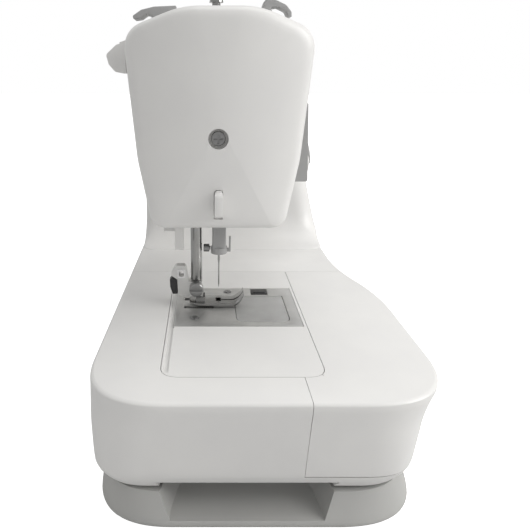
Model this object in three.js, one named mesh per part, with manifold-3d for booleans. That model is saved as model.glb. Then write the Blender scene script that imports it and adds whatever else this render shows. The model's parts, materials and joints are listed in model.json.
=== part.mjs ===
// Free-arm home sewing machine with a slide-off accessory table, as an assembly of its separate pieces.
// Millimetres, +Z up. Inside this file x runs to the operator's right and y runs away from the operator,
// both measured from the needle, and z is the height above the surface that the machine stands on.
import * as THREE from 'three';
import { mergeVertices } from 'three/addons/utils/BufferGeometryUtils.js';
import Module from 'manifold-3d';

const wasm = await Module();
wasm.setup();

// ---- Driving dimensions ----

const DECK = 85; // top of the bed, the table and the needle plate
const BED_END = -130; // left end of the table
const BED_RIGHT = 268; // right side of the machine
const BED_REAR = 77; // rear edge of the table at its left end
const PILLAR_REAR = 68.5; // rear edge of the bed at the pillar
const BED_FRONT = -123.5; // front edge of the table, at its widest
const BED_WAIST = -103.5; // front edge of the bed in front of the pillar
const JOIN_X = 67; // where the table meets the bed block
const BASE_TOP = 20;
const BASE_BOTTOM = 1.2; // the rubber feet carry the base this high
const TABLE_BOTTOM = 22;
const LID_BOTTOM = 32.5; // lower edge of the accessory lid
const SKIN = 3; // wall of the moulded shells
const GAP = 0.3; // parting gap between neighbouring pieces

const FREE_ARM = { left: -103, front: -58, rear: 35, bottom: 36, corner: 11 };
const PLATE = { left: -39, right: 28.6, front: -55.9, rear: 30.9, thick: 1.8 };
const HOOK = { x: -6, y: -25, radius: 22 }; // vertical axis of the rotary hook

const HEAD_CENTRE = 1.3; // the head is symmetric about this y
const HEAD_HALF = 57; // half of its width above the shoulder of its side
const HEAD_BOTTOM = 150.5;
const HEAD_MIDDLE = 216; // height about which the end of the head rounds off
const ARM_BOTTOM = 193; // underside of the arm over the throat
const FACE_SPLIT = -14; // parting plane of the face cover
const CASE_SPLIT = 22; // parting plane of the front and rear casings, in y

const BAR_Y = 16; // presser bar, behind the needle
const SHAFT_Z = 232; // upper shaft
const LOWER_SHAFT = { y: -8, z: 51 };
const MOTOR = { y: -48, z: 128 };
const PULLEY_X = 218;
const HANDLE = { y: 34, z: 268, arms: [45, 190], width: 10 }; // pivot of the carrying handle, and its two arms

// The row's origin is under the middle of the whole machine's box.
const ORIGIN = { x: (BED_END + 290.6) / 2, y: (BED_FRONT + 79.9) / 2 };

// ---- Materials ----

const finish = (color, roughness, metalness = 0) => new THREE.MeshStandardMaterial({ color, roughness, metalness });
const MATERIAL = {
  shell: finish(0xe6e4e0, 0.4),
  base: finish(0xb4b2ae, 0.5),
  grey: finish(0x8f8f8e, 0.4),
  black: finish(0x26262a, 0.5),
  steel: finish(0xb8b8b8, 0.3, 1),
  chrome: finish(0xd8d8d8, 0.12, 1),
  casting: finish(0x9a9c9e, 0.6, 1),
  clear: finish(0xc8cccf, 0.1),
  rubber: finish(0x303030, 0.9),
  board: finish(0x2f6b46, 0.6),
  screen: finish(0x8c9a8e, 0.2),
};

// ---- Solids ----

function solidOf(shape) {
  if (!shape.isBufferGeometry) return shape;
  const bare = shape.index ? shape.toNonIndexed() : shape.clone();
  bare.deleteAttribute('normal');
  bare.deleteAttribute('uv');
  const merged = mergeVertices(bare, 1e-4);
  const triVerts = new Uint32Array(merged.index.array);
  const vertProperties = merged.attributes.position.array;
  return new wasm.Manifold(new wasm.Mesh({ numProp: 3, vertProperties, triVerts }));
}

const join = (first, ...others) => others.reduce((a, b) => a.add(solidOf(b)), solidOf(first));
const cut = (first, ...others) => others.reduce((a, b) => a.subtract(solidOf(b)), solidOf(first));
const common = (first, ...others) => others.reduce((a, b) => a.intersect(solidOf(b)), solidOf(first));

function geometryOf(shape) {
  if (shape.isBufferGeometry) return shape;
  const { vertProperties, triVerts, numProp, numVert } = shape.getMesh();
  const position = new Float32Array(numVert * 3);
  for (let i = 0; i < numVert; i++) position.set(vertProperties.subarray(i * numProp, i * numProp + 3), i * 3);
  return new THREE.BufferGeometry()
    .setAttribute('position', new THREE.BufferAttribute(position, 3))
    .setIndex(new THREE.BufferAttribute(new Uint32Array(triVerts), 1));
}

const machine = new THREE.Group();
machine.position.set(-ORIGIN.x, -ORIGIN.y, 0);

function part(name, shape, material) {
  const mesh = new THREE.Mesh(geometryOf(shape), material);
  mesh.name = name;
  machine.add(mesh);
  return mesh;
}

// A box between two corners.
function box([x0, y0, z0], [x1, y1, z1]) {
  return new THREE.BoxGeometry(x1 - x0, y1 - y0, z1 - z0).translate((x0 + x1) / 2, (y0 + y1) / 2, (z0 + z1) / 2);
}

// Turns a geometry made along +Z so that it runs along x or y, then moves it to its start.
function along(geometry, axis, [x, y, z]) {
  if (axis === 'x') geometry.rotateY(Math.PI / 2);
  if (axis === 'y') geometry.rotateX(-Math.PI / 2);
  return geometry.translate(x, y, z);
}

// A cylinder or cone that starts at a point and runs along an axis.
function rod(radius, length, axis, start, sides = 16, endRadius = radius) {
  const geometry = new THREE.CylinderGeometry(endRadius, radius, length, sides);
  return along(geometry.rotateX(Math.PI / 2).translate(0, 0, length / 2), axis, start);
}

// A turned piece: [radius, height] pairs from axis to axis, running along an axis from a point.
function turned(profile, axis, start, sides = 24) {
  const points = profile.map(([radius, height]) => new THREE.Vector2(radius, height));
  return along(new THREE.LatheGeometry(points, sides).rotateX(Math.PI / 2), axis, start);
}

// A closed outline with rounded corners, each corner being [a, b, radius, steps].
function rounded(corners) {
  return corners.flatMap(([a, b, radius = 0, steps = 4], i) => {
    const corner = new THREE.Vector2(a, b);
    if (radius === 0) return [corner];
    const before = new THREE.Vector2(...corners.at(i - 1)).sub(corner);
    const after = new THREE.Vector2(...corners[(i + 1) % corners.length]).sub(corner);
    const half = Math.acos(THREE.MathUtils.clamp(before.dot(after) / before.length() / after.length(), -1, 1)) / 2;
    const reach = Math.min(radius / Math.tan(half), 0.49 * before.length(), 0.49 * after.length());
    const start = before.setLength(reach).add(corner);
    const end = after.setLength(reach).add(corner);
    return new THREE.QuadraticBezierCurve(start, corner, end).getPoints(steps);
  });
}

// An outline in the plane across an axis, drawn out along it. The outline's pairs are (x, y), (x, z) or (y, z).
function prism(outline, axis, from, to) {
  const shape = new THREE.Shape(outline);
  const geometry = new THREE.ExtrudeGeometry(shape, { depth: to - from, bevelEnabled: false, steps: 1 });
  if (axis === 'z') return geometry.translate(0, 0, from);
  if (axis === 'y') return geometry.rotateX(Math.PI / 2).translate(0, to, 0);
  return geometry.rotateX(Math.PI / 2).rotateZ(Math.PI / 2).translate(from, 0, 0);
}

const slab = (corners, axis, from, to) => prism(rounded(corners), axis, from, to);

// A closed skin over rings of points, capped at both ends. All rings have the same number of points.
function loft(rings) {
  const count = rings[0].length;
  const position = rings.flat().flatMap((point) => point.toArray());
  const index = [];
  for (let i = 0; i < rings.length - 1; i++) {
    for (let j = 0; j < count; j++) {
      const [a, b] = [i * count + j, i * count + ((j + 1) % count)];
      index.push(a, b, b + count, a, b + count, a + count);
    }
  }
  for (const [ring, start, flipped] of [[rings[0], 0, true], [rings.at(-1), (rings.length - 1) * count, false]]) {
    const middle = ring.reduce((sum, point) => sum.add(point), new THREE.Vector3()).divideScalar(count);
    const hub = position.length / 3;
    position.push(...middle.toArray());
    for (let j = 0; j < count; j++) {
      const [a, b] = [start + j, start + ((j + 1) % count)];
      index.push(...(flipped ? [hub, b, a] : [hub, a, b]));
    }
  }
  const geometry = new THREE.BufferGeometry()
    .setAttribute('position', new THREE.Float32BufferAttribute(position, 3))
    .setIndex(index);
  const solid = solidOf(geometry);
  if (solid.volume() > 0) return solid;
  for (let i = 0; i < index.length; i += 3) [index[i + 1], index[i + 2]] = [index[i + 2], index[i + 1]];
  return solidOf(geometry.setIndex(index));
}

const mix = THREE.MathUtils.lerp;

// ---- The plan of the bed, the table and the base ----

// One level of the plan, drawn in from the rim by a different amount at each side.
function planRing(z, { end = 0, rear = 0, front = 0, right = 0, round = 1, inset = 0 }) {
  const left = BED_END + end + inset;
  const side = BED_RIGHT - right - inset;
  const forward = front + inset;
  const back = rear + inset;
  return rounded([
    [left, BED_REAR - back, 46 * round - inset, 6],
    [side, PILLAR_REAR - back, 26 - inset, 4],
    [side, BED_WAIST + forward, 30 - inset, 4],
    [77, BED_WAIST + forward, 200, 3],
    [18, BED_FRONT + forward, 200, 3],
    [left, BED_FRONT + forward, 50 * round - inset, 6],
  ]).map(({ x, y }) => new THREE.Vector3(x, y, z));
}

const planLoft = (levels, inset = 0) => loft(levels.map(({ z, ...sides }) => planRing(z, { ...sides, inset })));

// Levels of the bed and the table: a lip at the rim, sides that draw in below it, and a chamfered foot.
const BED_LEVELS = [
  { z: TABLE_BOTTOM, end: 14, rear: 5.5, front: 15.5, right: 3, round: 0.6 },
  { z: 32, end: 9, rear: 0.8, front: 10.6, right: 0, round: 0.62 },
  { z: 47, end: 6.5, rear: 0.4, front: 9, right: 0, round: 0.68 },
  { z: 62, end: 3.8, rear: 0, front: 7, right: 0, round: 0.8 },
  { z: 74, end: 1.6, rear: 0, front: 3.2, right: 0, round: 0.93 },
  { z: 81, end: 0.2, rear: 0, front: 0.4, right: 0 },
  { z: 83.6, end: 0.3, rear: 0.3, front: 0.3, right: 0.3 },
  { z: DECK, end: 2, rear: 2, front: 2, right: 2 },
];
const CAVITY_LEVELS = [
  { ...BED_LEVELS[0], z: 10 },
  { ...BED_LEVELS[0] },
  { ...BED_LEVELS[1] },
  { ...BED_LEVELS[3] },
  { ...BED_LEVELS[4] },
  { ...BED_LEVELS[5], z: DECK - SKIN },
];
const BASE_LEVELS = [
  { z: BASE_BOTTOM, end: 4.6, rear: 3, front: 8.6, right: 4, round: 0.95 },
  { z: 3.4, end: 3.6, rear: 1.8, front: 7.2, right: 2, round: 0.95 },
  { z: 12, end: 7.6, rear: 3, front: 9.4, right: 2, round: 0.9 },
  { z: BASE_TOP, end: 11.6, rear: 4.6, front: 12.4, right: 3, round: 0.85 },
];

const bedOuter = planLoft(BED_LEVELS);
const bedCavity = planLoft(CAVITY_LEVELS, SKIN);
const leftOfJoin = box([-200, -200, -1], [JOIN_X, 200, 300]);
const rightOfJoin = box([JOIN_X + GAP, -200, -1], [400, 200, 300]);

// ---- The arm, as sections along x, and the pillar, as sections along z ----

// Half of the head's width at a height: straight above its shoulder, and narrower below it.
const sideHalf = (z) => HEAD_HALF - (z < 250 ? 5.1 * ((250 - z) / 50) ** 1.52 : 0);

// A section of the arm. Spread widens it from the slim head to the deep pillar, and bulge crowns the end of the head.
function armRing({ x, bottom, spread = 0, scale = 1, bulge = 0 }, inset = 0) {
  const side = mix(bottom, 245, 0.45);
  const half = (z) => sideHalf(z) - inset;
  const section = rounded([
    [mix(HEAD_CENTRE + half(bottom), 68 - inset, spread), bottom + inset, 10, 3],
    [mix(HEAD_CENTRE + half(side), 65 - inset, spread), side, 60, 2],
    [mix(58.3, 60.5, spread) - inset, 267.5 - inset, 16, 3],
    [23, 279.5 - inset, 60, 2],
    [-21, 279.5 - inset, 60, 2],
    [mix(-55.7, -62.5, spread) + inset, 267 - inset, 16, 3],
    [mix(HEAD_CENTRE - half(side), -73.8 + inset, spread), side, 60, 2],
    [mix(HEAD_CENTRE - half(bottom), -80 + inset, spread), bottom + inset, 10, 3],
  ]);
  return section.map(({ x: y, y: z }) => {
    const across = HEAD_CENTRE + (y - HEAD_CENTRE) * scale;
    const lift = bulge * ((across - HEAD_CENTRE) / HEAD_HALF) ** 2;
    return new THREE.Vector3(x + lift, across, HEAD_MIDDLE + (z - HEAD_MIDDLE) * scale);
  });
}

const HEAD_STATIONS = [
  { x: -42.4, scale: 0.04, bulge: 12 },
  { x: -42.2, scale: 0.6, bulge: 12 },
  { x: -41.8, scale: 0.88, bulge: 12 },
  { x: -40.4, scale: 0.955, bulge: 12 },
  { x: -37.5, scale: 0.985, bulge: 12 },
  { x: -32, scale: 1, bulge: 12 },
  { x: -12, scale: 1, bulge: 0 },
  { x: 34, scale: 1, bulge: 0 },
].map((station) => ({ ...station, bottom: HEAD_BOTTOM }));
const ARM_STATIONS = [
  { x: 43, bottom: 154.5 },
  { x: 52, bottom: 167 },
  { x: 60, bottom: 182 },
  { x: 70, bottom: 190.5 },
  { x: 84, bottom: ARM_BOTTOM, spread: 0.05 },
  { x: 105, bottom: ARM_BOTTOM, spread: 0.25 },
  { x: 130, bottom: ARM_BOTTOM, spread: 0.62 },
  { x: 155, bottom: ARM_BOTTOM, spread: 0.92 },
  { x: 175, bottom: ARM_BOTTOM, spread: 1 },
  { x: 260, bottom: ARM_BOTTOM, spread: 1 },
  { x: 265.5, bottom: ARM_BOTTOM, spread: 1, scale: 0.985 },
  { x: BED_RIGHT, bottom: ARM_BOTTOM, spread: 1, scale: 0.955 },
];
const armOuter = loft([...HEAD_STATIONS, ...ARM_STATIONS].map((station) => armRing(station)));
const headInside = HEAD_STATIONS.slice(2).map((station) => armRing({ ...station, x: station.x + SKIN }, SKIN));
const armInside = ARM_STATIONS.slice(0, -2).map((station) => armRing({ ...station, x: station.x + SKIN }, SKIN));
const armCavity = loft([...headInside, ...armInside]);

function pillarRing({ z, left, inset = 0 }) {
  const front = BED_WAIST - 0.5 + Math.max(0, z - 95) * 0.238 + inset;
  const rear = PILLAR_REAR + 1.4 - Math.max(0, z - 180) * 0.11 - inset;
  const right = BED_RIGHT - 0.4 - Math.max(0, z - 240) * 0.2 - inset;
  return rounded([
    [left + inset, rear, 13, 4],
    [right, rear - 2.2, 18, 3],
    [right, front + 1, 24, 3],
    [left + inset, front, 20, 5],
  ]).map(({ x, y }) => new THREE.Vector3(x, y, z));
}

// Left side of the pillar by height: it sweeps out of the deck, and over into the arm.
const PILLAR_STATIONS = [
  { z: 80, left: 128 },
  { z: 85.2, left: 128 },
  { z: 87.4, left: 139 },
  { z: 92, left: 149 },
  { z: 100, left: 157.5 },
  { z: 112, left: 163 },
  { z: 135, left: 165.5 },
  { z: 160, left: 165 },
  { z: 176, left: 161 },
  { z: 186, left: 154 },
  { z: 194, left: 143 },
  { z: 206, left: 138 },
  { z: 260, left: 150 },
];
const pillarOuter = loft(PILLAR_STATIONS.map(pillarRing));
const pillarInside = PILLAR_STATIONS.slice(2, -1).map((station) => ({ ...station, inset: SKIN }));
const pillarCavity = loft([{ z: 77, left: 128, inset: 6 }, { z: 85.2, left: 128, inset: 3.6 }, ...pillarInside].map(pillarRing));

// ---- Casings ----

const bodyOuter = join(armOuter, pillarOuter, common(bedOuter, rightOfJoin));
const deckCavity = common(bedCavity, box([JOIN_X + SKIN, -200, 0], [400, 200, 200]));
const armTunnel = box([50, FREE_ARM.front + 6, 40], [90, FREE_ARM.rear - 6, 79]); // the shafts pass into the free arm
const hollowBody = cut(bodyOuter, armCavity, pillarCavity, deckCavity, armTunnel);
// Each arm of the carrying handle folds into a pocket in the top rear corner, and turns in its two walls.
const pocketWalls = HANDLE.arms.map((x) => box([x - 4, 23, 252], [x + HANDLE.width + 4, 70, 290]));
const pockets = HANDLE.arms.map((x) => box([x - 0.6, 26, 255], [x + HANDLE.width + 0.6, 80, 300]));
const pocketPins = HANDLE.arms.map((x) => rod(2.8, HANDLE.width + 6, 'x', [x - 3, HANDLE.y, HANDLE.z], 14));
const bodyShell = cut(join(hollowBody, common(join(...pocketWalls), armOuter)), ...pockets, ...pocketPins);

const barOpening = box([-20, -16, 140], [48, 40.4, 170]); // under the head, around the needle and presser bars
const takeUpSlot = box([11, -90, 196], [19, -30, 264]);
const windowFrame = { x0: 178, x1: 246, z0: 212, z1: 250 }; // display, on the front of the pillar
const displayOpening = box([windowFrame.x0, -120, windowFrame.z0], [windowFrame.x1, -55, windowFrame.z1]);
const dialHole = rod(7.4, 40, 'y', [212, -112, 166.5], 16);
const shaftHole = rod(9, 40, 'x', [240, 0, SHAFT_Z], 16);
const socketOpening = box([250, -20, 40], [280, 14, 62]);
const switchOpening = box([250, -48, 93.5], [280, -36, 114.5]);
const winderHole = slab([[219.5, -20, 4, 3], [234.5, -20, 4, 3], [234.5, -12, 4, 3], [219.5, -12, 4, 3]], 'z', 262, 300);

const behindFace = box([FACE_SPLIT + GAP / 2, -300, -1], [400, 300, 400]);
const frontHalf = box([-300, -300, -1], [400, CASE_SPLIT - GAP / 2, 400]);
const rearHalf = box([-300, CASE_SPLIT + GAP / 2, -1], [400, 300, 400]);
const faceHalf = box([-300, -300, -1], [FACE_SPLIT - GAP / 2, 300, 400]);

const PANEL = { x0: -10, x1: 58, z0: 176.5, z1: 226 }; // operating panel on the front of the head
// A wedge whose face stays upright while the casing behind it draws in.
const panelWedge = (gap) => slab([
  [-57.8, PANEL.z0 - gap, 1.5, 2], [-55.4, PANEL.z1 + gap, 0], [-36, PANEL.z1 + gap, 0], [-36, PANEL.z0 - gap, 0],
], 'x', PANEL.x0 - gap, PANEL.x1 + gap);
// Behind the folded handle the rear wall is hollowed, so that fingers pass between the two.
const fingerHollow = slab([[57, 239, 5, 3], [188, 239, 5, 3], [188, 261, 5, 3], [57, 261, 5, 3]], 'y', 61.3, 80);
const openings = [
  fingerHollow, barOpening, takeUpSlot, displayOpening, dialHole, shaftHole, socketOpening, switchOpening, winderHole,
];

const casing = cut(common(bodyShell, behindFace), ...openings);
part('front_casing', cut(common(casing, frontHalf), panelWedge(GAP)), MATERIAL.shell);
part('rear_casing', common(casing, rearHalf), MATERIAL.shell);

const SCREW_Z = 207.4;
const cutterSeat = box([-50, -1.4, 160], [-36.8, 4.6, 177.2]);
const screwWell = turned([[0, -20], [6, -20], [6, 5.5], [2.4, 5.5], [2.4, 30], [0, 30]], 'x', [-42, 2, SCREW_Z], 20);
// The cover's screw goes into a boss on its inner side.
const screwBoss = rod(8, 18, 'x', [-41, 2, SCREW_Z], 16);
const faceShell = join(common(bodyShell, faceHalf), common(screwBoss, armOuter));
part('face_cover', cut(faceShell, screwWell, cutterSeat), MATERIAL.shell);
part('face_cover_screw', turned([[0, 0], [4.3, 0], [4.3, 2.4], [2, 2.8], [2, 20], [0, 20]], 'x', [-39.4, 2, SCREW_Z], 16), MATERIAL.steel);
part('thread_cutter', join(
  slab([[-49, 161.5, 2, 3], [-49, 176, 3.5, 3], [-42.9, 176, 0], [-42.9, 161.5, 0]], 'y', -0.6, 4.1),
  box([-43.4, -0.9, 160.8], [-37.5, 4.1, 176.6]),
), MATERIAL.shell);

// ---- The operating panel and the controls ----

part('control_panel', cut(panelWedge(0), armCavity, ...[
  rod(6.4, 40, 'y', [6, -70, 186], 16),
  rod(4.9, 40, 'y', [26, -70, 186], 16),
  box([34, -70, 203], [52, -30, 208]),
  common(takeUpSlot, box([-300, -90, 190], [300, -30, 300])),
]), MATERIAL.grey);

const button = (radius, x, z) => rod(radius, 8, 'y', [x, -60.2, z], 16);
part('start_stop_button', button(6, 6, 186), MATERIAL.shell);
part('reverse_button', button(4.5, 26, 186), MATERIAL.shell);
part('speed_slider', join(box([40, -60, 203.5], [44, -47, 207.5]), box([38, -62.6, 202], [46, -57.8, 209])), MATERIAL.shell);

const frontAt = (z) => BED_WAIST - 0.3 + Math.max(0, z - 95) * 0.238; // the pillar's front face at a height
const windowTilt = Math.atan(0.238);
const screen = box([windowFrame.x0 + 0.4, -2.6, -18.2], [windowFrame.x1 - 0.4, 0, 18.2]);
const middleZ = (windowFrame.z0 + windowFrame.z1) / 2;
screen.rotateX(-windowTilt).translate(0, frontAt(middleZ) + 2.4, middleZ);
part('display_window', screen, MATERIAL.screen);

const dial = turned([[0, -10], [15.5, -10], [17, -8.6], [17, -1.2], [5.4, -1.2], [5.4, 8], [0, 8]], 'y', [0, 0, 0], 28);
dial.rotateX(-windowTilt).translate(212, frontAt(168) - 1.2, 168);
part('stitch_dial', dial, MATERIAL.grey);

part('power_switch', slab([
  [257, 97, 0], [257, 111, 0], [266, 112.6, 0], [270.6, 110, 1.5, 2], [267, 103, 12, 3], [268, 97, 1.5, 2], [265, 95.4, 0],
], 'y', -47.5, -36.5), MATERIAL.black);
part('power_socket', cut(box([250.5, -19.5, 40.5], [268.4, 13.5, 61.5]), box([258, -15, 45], [280, 9, 57])), MATERIAL.black);

// ---- Base ----

const graspFront = -66.3;
const graspRear = 38.7;
// The hand recess under the left end: wide at its mouth, running back and up to a sloping floor.
const graspRing = (x, floor, top, narrow) => [
  [x, graspFront + narrow, top], [x, graspRear - narrow, top],
  [x, graspRear - narrow - 9, floor], [x, graspFront + narrow + 8.6, floor],
].map((point) => new THREE.Vector3(...point));
const grasp = loft([graspRing(-150, 5.8, 27, 0), graspRing(-118, 5.8, 27, 0), graspRing(-104, 8, 27, 3), graspRing(-94, 14, 27, 9), graspRing(-88, 24, 27, 14)]);

const FEET = [[-88, -80], [-88, 46], [236, -74], [236, 42]];
const footHole = ([x, y]) => join(rod(3.6, 6, 'z', [x, y, 0], 12), rod(8.5, 3.8, 'z', [x, y, 0], 16));
const baseShell = cut(
  planLoft(BASE_LEVELS),
  grasp,
  common(planLoft([{ ...BASE_LEVELS[2], z: 6 }, { ...BASE_LEVELS[3], z: 40 }], 4), box([75, -200, 5.5], [400, 200, 60])),
  box([-76, -92, -5], [66, 60, 16]), // hollow from below under the table
  ...FEET.map(footHole),
);
// A rim inside the bed block that the casings are pushed over.
const rimLevels = [{ ...BED_LEVELS[0], z: 15 }, { ...BED_LEVELS[0], z: 22 }, { ...BED_LEVELS[1], z: 32 }];
const baseRim = common(cut(planLoft(rimLevels, 3.6), planLoft([{ ...rimLevels[0], z: 5 }, ...rimLevels, { ...rimLevels[2], z: 40 }], 6)), box([74, -200, 0], [400, 200, 60]));
part('base_tray', join(baseShell, baseRim), MATERIAL.base);
FEET.forEach(([x, y], i) => {
  const foot = turned([[0, 0], [7.6, 0], [8, 0.4], [8, 3.4], [3.2, 3.4], [3.2, 5.4], [0, 5.4]], 'z', [x, y, 0], 16);
  part(`rubber_foot_${i + 1}`, foot, MATERIAL.rubber);
});

// ---- Accessory table that slides off to the left, and its lid ----

const { left: armLeft, front: armFront, rear: armRear, corner: armCorner } = FREE_ARM;
const armPlan = (grow) => [
  [armLeft - grow, armFront - grow, armCorner + grow, 4],
  [160, armFront - grow, 0],
  [160, armRear + grow, 0],
  [armLeft - grow, armRear + grow, armCorner + grow, 4],
];
const slotWall = 2.4;
const slot = slab(armPlan(0.4), 'z', -1, 200);
const slotGrown = slab(armPlan(0.4 + slotWall), 'z', -1, 200);
const LID_SEAM = -45.5; // the lid's parting line on the left end
const lidArea = (shift) => join(
  box([-200, -200, -1], [armLeft + 1, LID_SEAM - shift, 200]),
  box([armLeft, -200, -1], [200, armFront + 2 - shift, 200]),
);
const tableOuter = common(bedOuter, leftOfJoin);
const tableCavity = common(bedCavity, box([-200, -200, -1], [JOIN_X - SKIN, 200, 200]));
const lidCavity = cut(tableCavity, box([-200, -200, -1], [400, 200, LID_BOTTOM]));
const aboveBand = box([-200, -200, LID_BOTTOM - 0.7], [400, 200, 200]);
const lidShell = cut(common(tableOuter, lidArea(GAP / 2), box([-200, -200, LID_BOTTOM], [400, 200, 200])), lidCavity, slot);
part('accessory_lid', lidShell, MATERIAL.shell);

// The tray under the lid keeps a floor; behind it the table is a shell open below.
const trayFloor = common(planLoft(BED_LEVELS, SKIN / 2), lidArea(0), box([-200, -200, TABLE_BOTTOM], [JOIN_X - 1, 200, TABLE_BOTTOM + 2.6]));
const tableShell = cut(tableOuter, cut(tableCavity, slotGrown), slot);
const lidRoom = cut(common(lidArea(-GAP / 2), aboveBand), box([-300, -300, -1], [300, 300, LID_BOTTOM - 0.7]));
const trayWalls = common(cut(join(
  common(slotGrown, box([armLeft - 10, armFront - 5, TABLE_BOTTOM], [JOIN_X - SKIN - 0.5, LID_SEAM + 3, DECK - SKIN - GAP])),
  box([-126, LID_SEAM, TABLE_BOTTOM], [armLeft, LID_SEAM + 2.4, DECK - 0.5]),
), slot), cut(planLoft(BED_LEVELS, 0.2), box([-300, -300, DECK - 2], [-200, -200, DECK])));
const endRecess = common(grasp, box([-200, -200, 0], [-60, 200, 26.4]));
part('table_body', cut(join(cut(tableShell, lidRoom), trayFloor, trayWalls), endRecess, slot), MATERIAL.shell);

// ---- Free arm ----

const plateSeat = box(
  [PLATE.left - GAP, PLATE.front - GAP, DECK - PLATE.thick - GAP],
  [PLATE.right + GAP, PLATE.rear + GAP, DECK + 1],
);
const freeArmOuter = common(slab(armPlan(0), 'z', FREE_ARM.bottom, DECK), leftOfJoin);
const insideArm = slab([
  [armLeft + SKIN, armFront + SKIN, 8, 3], [160, armFront + SKIN, 0],
  [160, armRear - SKIN, 0], [armLeft + SKIN, armRear - SKIN, 8, 3],
], 'z', FREE_ARM.bottom + SKIN, DECK - SKIN);
const plateWindow = box([PLATE.left + 4, PLATE.front + 4, 60], [PLATE.right - 4, PLATE.rear - 4, 100]);
const rearGroove = box([-98, 30.6, DECK - 1.2], [JOIN_X + 1, 34, DECK + 1]);
part('free_arm_cover', cut(freeArmOuter, insideArm, plateWindow, plateSeat, rearGroove), MATERIAL.shell);

// ---- Needle plate, bobbin cover and its latch, feed dog ----

const COVER = { left: -32.3, right: 13, front: -48, rear: -12 };
const plateTop = DECK + 0.1;
const coverCorners = (gap) => [
  [COVER.left - gap, COVER.front - gap, 7, 3], [COVER.right + gap, COVER.front - gap, 1.5, 2],
  [COVER.right + gap, COVER.rear + gap, 1.5, 2], [COVER.left - gap, COVER.rear + gap, 7, 3],
];
const FEED_ROWS = [-7.2, 7.2];
const screwHoles = [[-25.4, 17.1], [21.7, -7.4]];
const plateSolid = cut(
  slab([
    [PLATE.left, PLATE.front, 1.5, 2], [PLATE.right, PLATE.front, 1.5, 2],
    [PLATE.right, PLATE.rear, 1.5, 2], [PLATE.left, PLATE.rear, 1.5, 2],
  ], 'z', plateTop - PLATE.thick, plateTop),
  slab(coverCorners(0.4), 'z', 70, 100),
  slab([[-4, -1.2, 1.2, 3], [4, -1.2, 1.2, 3], [4, 1.2, 1.2, 3], [-4, 1.2, 1.2, 3]], 'z', 70, 100),
  ...FEED_ROWS.map((x) => box([x - 2.4, 3.6, 70], [x + 2.4, 25, 100])),
  box([15.5, -38, 70], [27.4, -25, 100]),
  ...screwHoles.map(([x, y]) => rod(3.2, 10, 'z', [x, y, 80], 14)),
);
part('needle_plate', plateSolid, MATERIAL.steel);
screwHoles.forEach(([x, y], i) => {
  const screw = turned([[0, -8], [1.6, -8], [1.6, -1.2], [2.9, -1.2], [2.9, 0.3], [2.2, 0.7], [0, 0.7]], 'z', [x, y, plateTop], 14);
  part(`plate_screw_${i + 1}`, screw, MATERIAL.steel);
});
part('bobbin_cover', slab(coverCorners(0), 'z', plateTop - PLATE.thick, plateTop - 0.1), MATERIAL.clear);
part('cover_latch', join(
  box([15.9, -37.6, plateTop - 1.7], [24.8, -25.4, plateTop + 0.3]),
  box([18.4, -36, plateTop + 0.2], [20, -27, plateTop + 1]),
), MATERIAL.black);

const tooth = (x, y) => prism([[y, 82.4], [y + 1.6, 82.4], [y + 0.8, 84.4]].map((p) => new THREE.Vector2(...p)), 'x', x - 1.9, x + 1.9);
const toothRow = (x) => Array.from({ length: 11 }, (_, i) => tooth(x, 5.6 + i * 1.6));
part('feed_dog', join(
  box([-9.4, 4.4, 76], [9.4, 24.2, 78]),
  ...FEED_ROWS.map((x) => box([x - 1.9, 5.4, 77], [x + 1.9, 23.4, 82.5])),
  ...FEED_ROWS.flatMap(toothRow),
), MATERIAL.steel);

// ---- Hook, bobbin case and bobbin ----

const ring = (profile, sides = 24) => turned(profile, 'z', [HOOK.x, HOOK.y, 0], sides);
part('rotary_hook', ring([
  [0, 43], [5.6, 43], [5.6, 63], [HOOK.radius, 63], [HOOK.radius, 77], [HOOK.radius - 1.6, 77],
  [HOOK.radius - 1.6, 65], [0, 65],
], 28), MATERIAL.steel);
part('bobbin_case', cut(ring([
  [0, 65.6], [18.6, 65.6], [18.6, 78.6], [20.4, 78.6], [20.4, 80], [10.9, 80], [10.9, 67], [0, 67],
], 28), box([HOOK.x + 9, HOOK.y - 3, 76], [HOOK.x + 30, HOOK.y + 3, 79])), MATERIAL.black);
part('bobbin', ring([
  [2.9, 67.4], [10.2, 67.4], [10.2, 68.4], [5.4, 69], [5.4, 77.6], [10.2, 78.2], [10.2, 79.2], [2.9, 79.2], [2.9, 67.4],
]), MATERIAL.clear);

// ---- Drive: upper shaft and handwheel, belt, lower shaft, motor ----

part('upper_shaft', join(
  rod(5, 274, 'x', [6, 0, SHAFT_Z], 16),
  rod(17, 6, 'x', [6, 0, SHAFT_Z], 20), // crank disc that drives the needle bar
  rod(2.5, 2.2, 'x', [3.8, 0, SHAFT_Z + 12], 10),
), MATERIAL.steel);
part('handwheel', turned([
  [5.4, 1.3], [14, 1.3], [14, 4], [30, 4], [34, 6], [35, 9], [35, 17], [32, 21], [26, 22.4], [12, 21], [0, 21],
  [0, 13], [5.4, 13], [5.4, 1.3],
], 'x', [BED_RIGHT, 0, SHAFT_Z], 36), MATERIAL.shell);
const pulley = (radius, bore, [x, y, z], sides = 20) => turned([
  [bore, -7], [radius + 2, -7], [radius + 2, -5.6], [radius, -5.6], [radius, 5.6], [radius + 2, 5.6], [radius + 2, 7], [bore, 7], [bore, -7],
], 'x', [x, y, z], sides);
part('upper_pulley', pulley(17, 5.3, [PULLEY_X, 0, SHAFT_Z]), MATERIAL.steel);
part('lower_pulley', pulley(17, 4.3, [PULLEY_X, LOWER_SHAFT.y, LOWER_SHAFT.z]), MATERIAL.steel);
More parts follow.
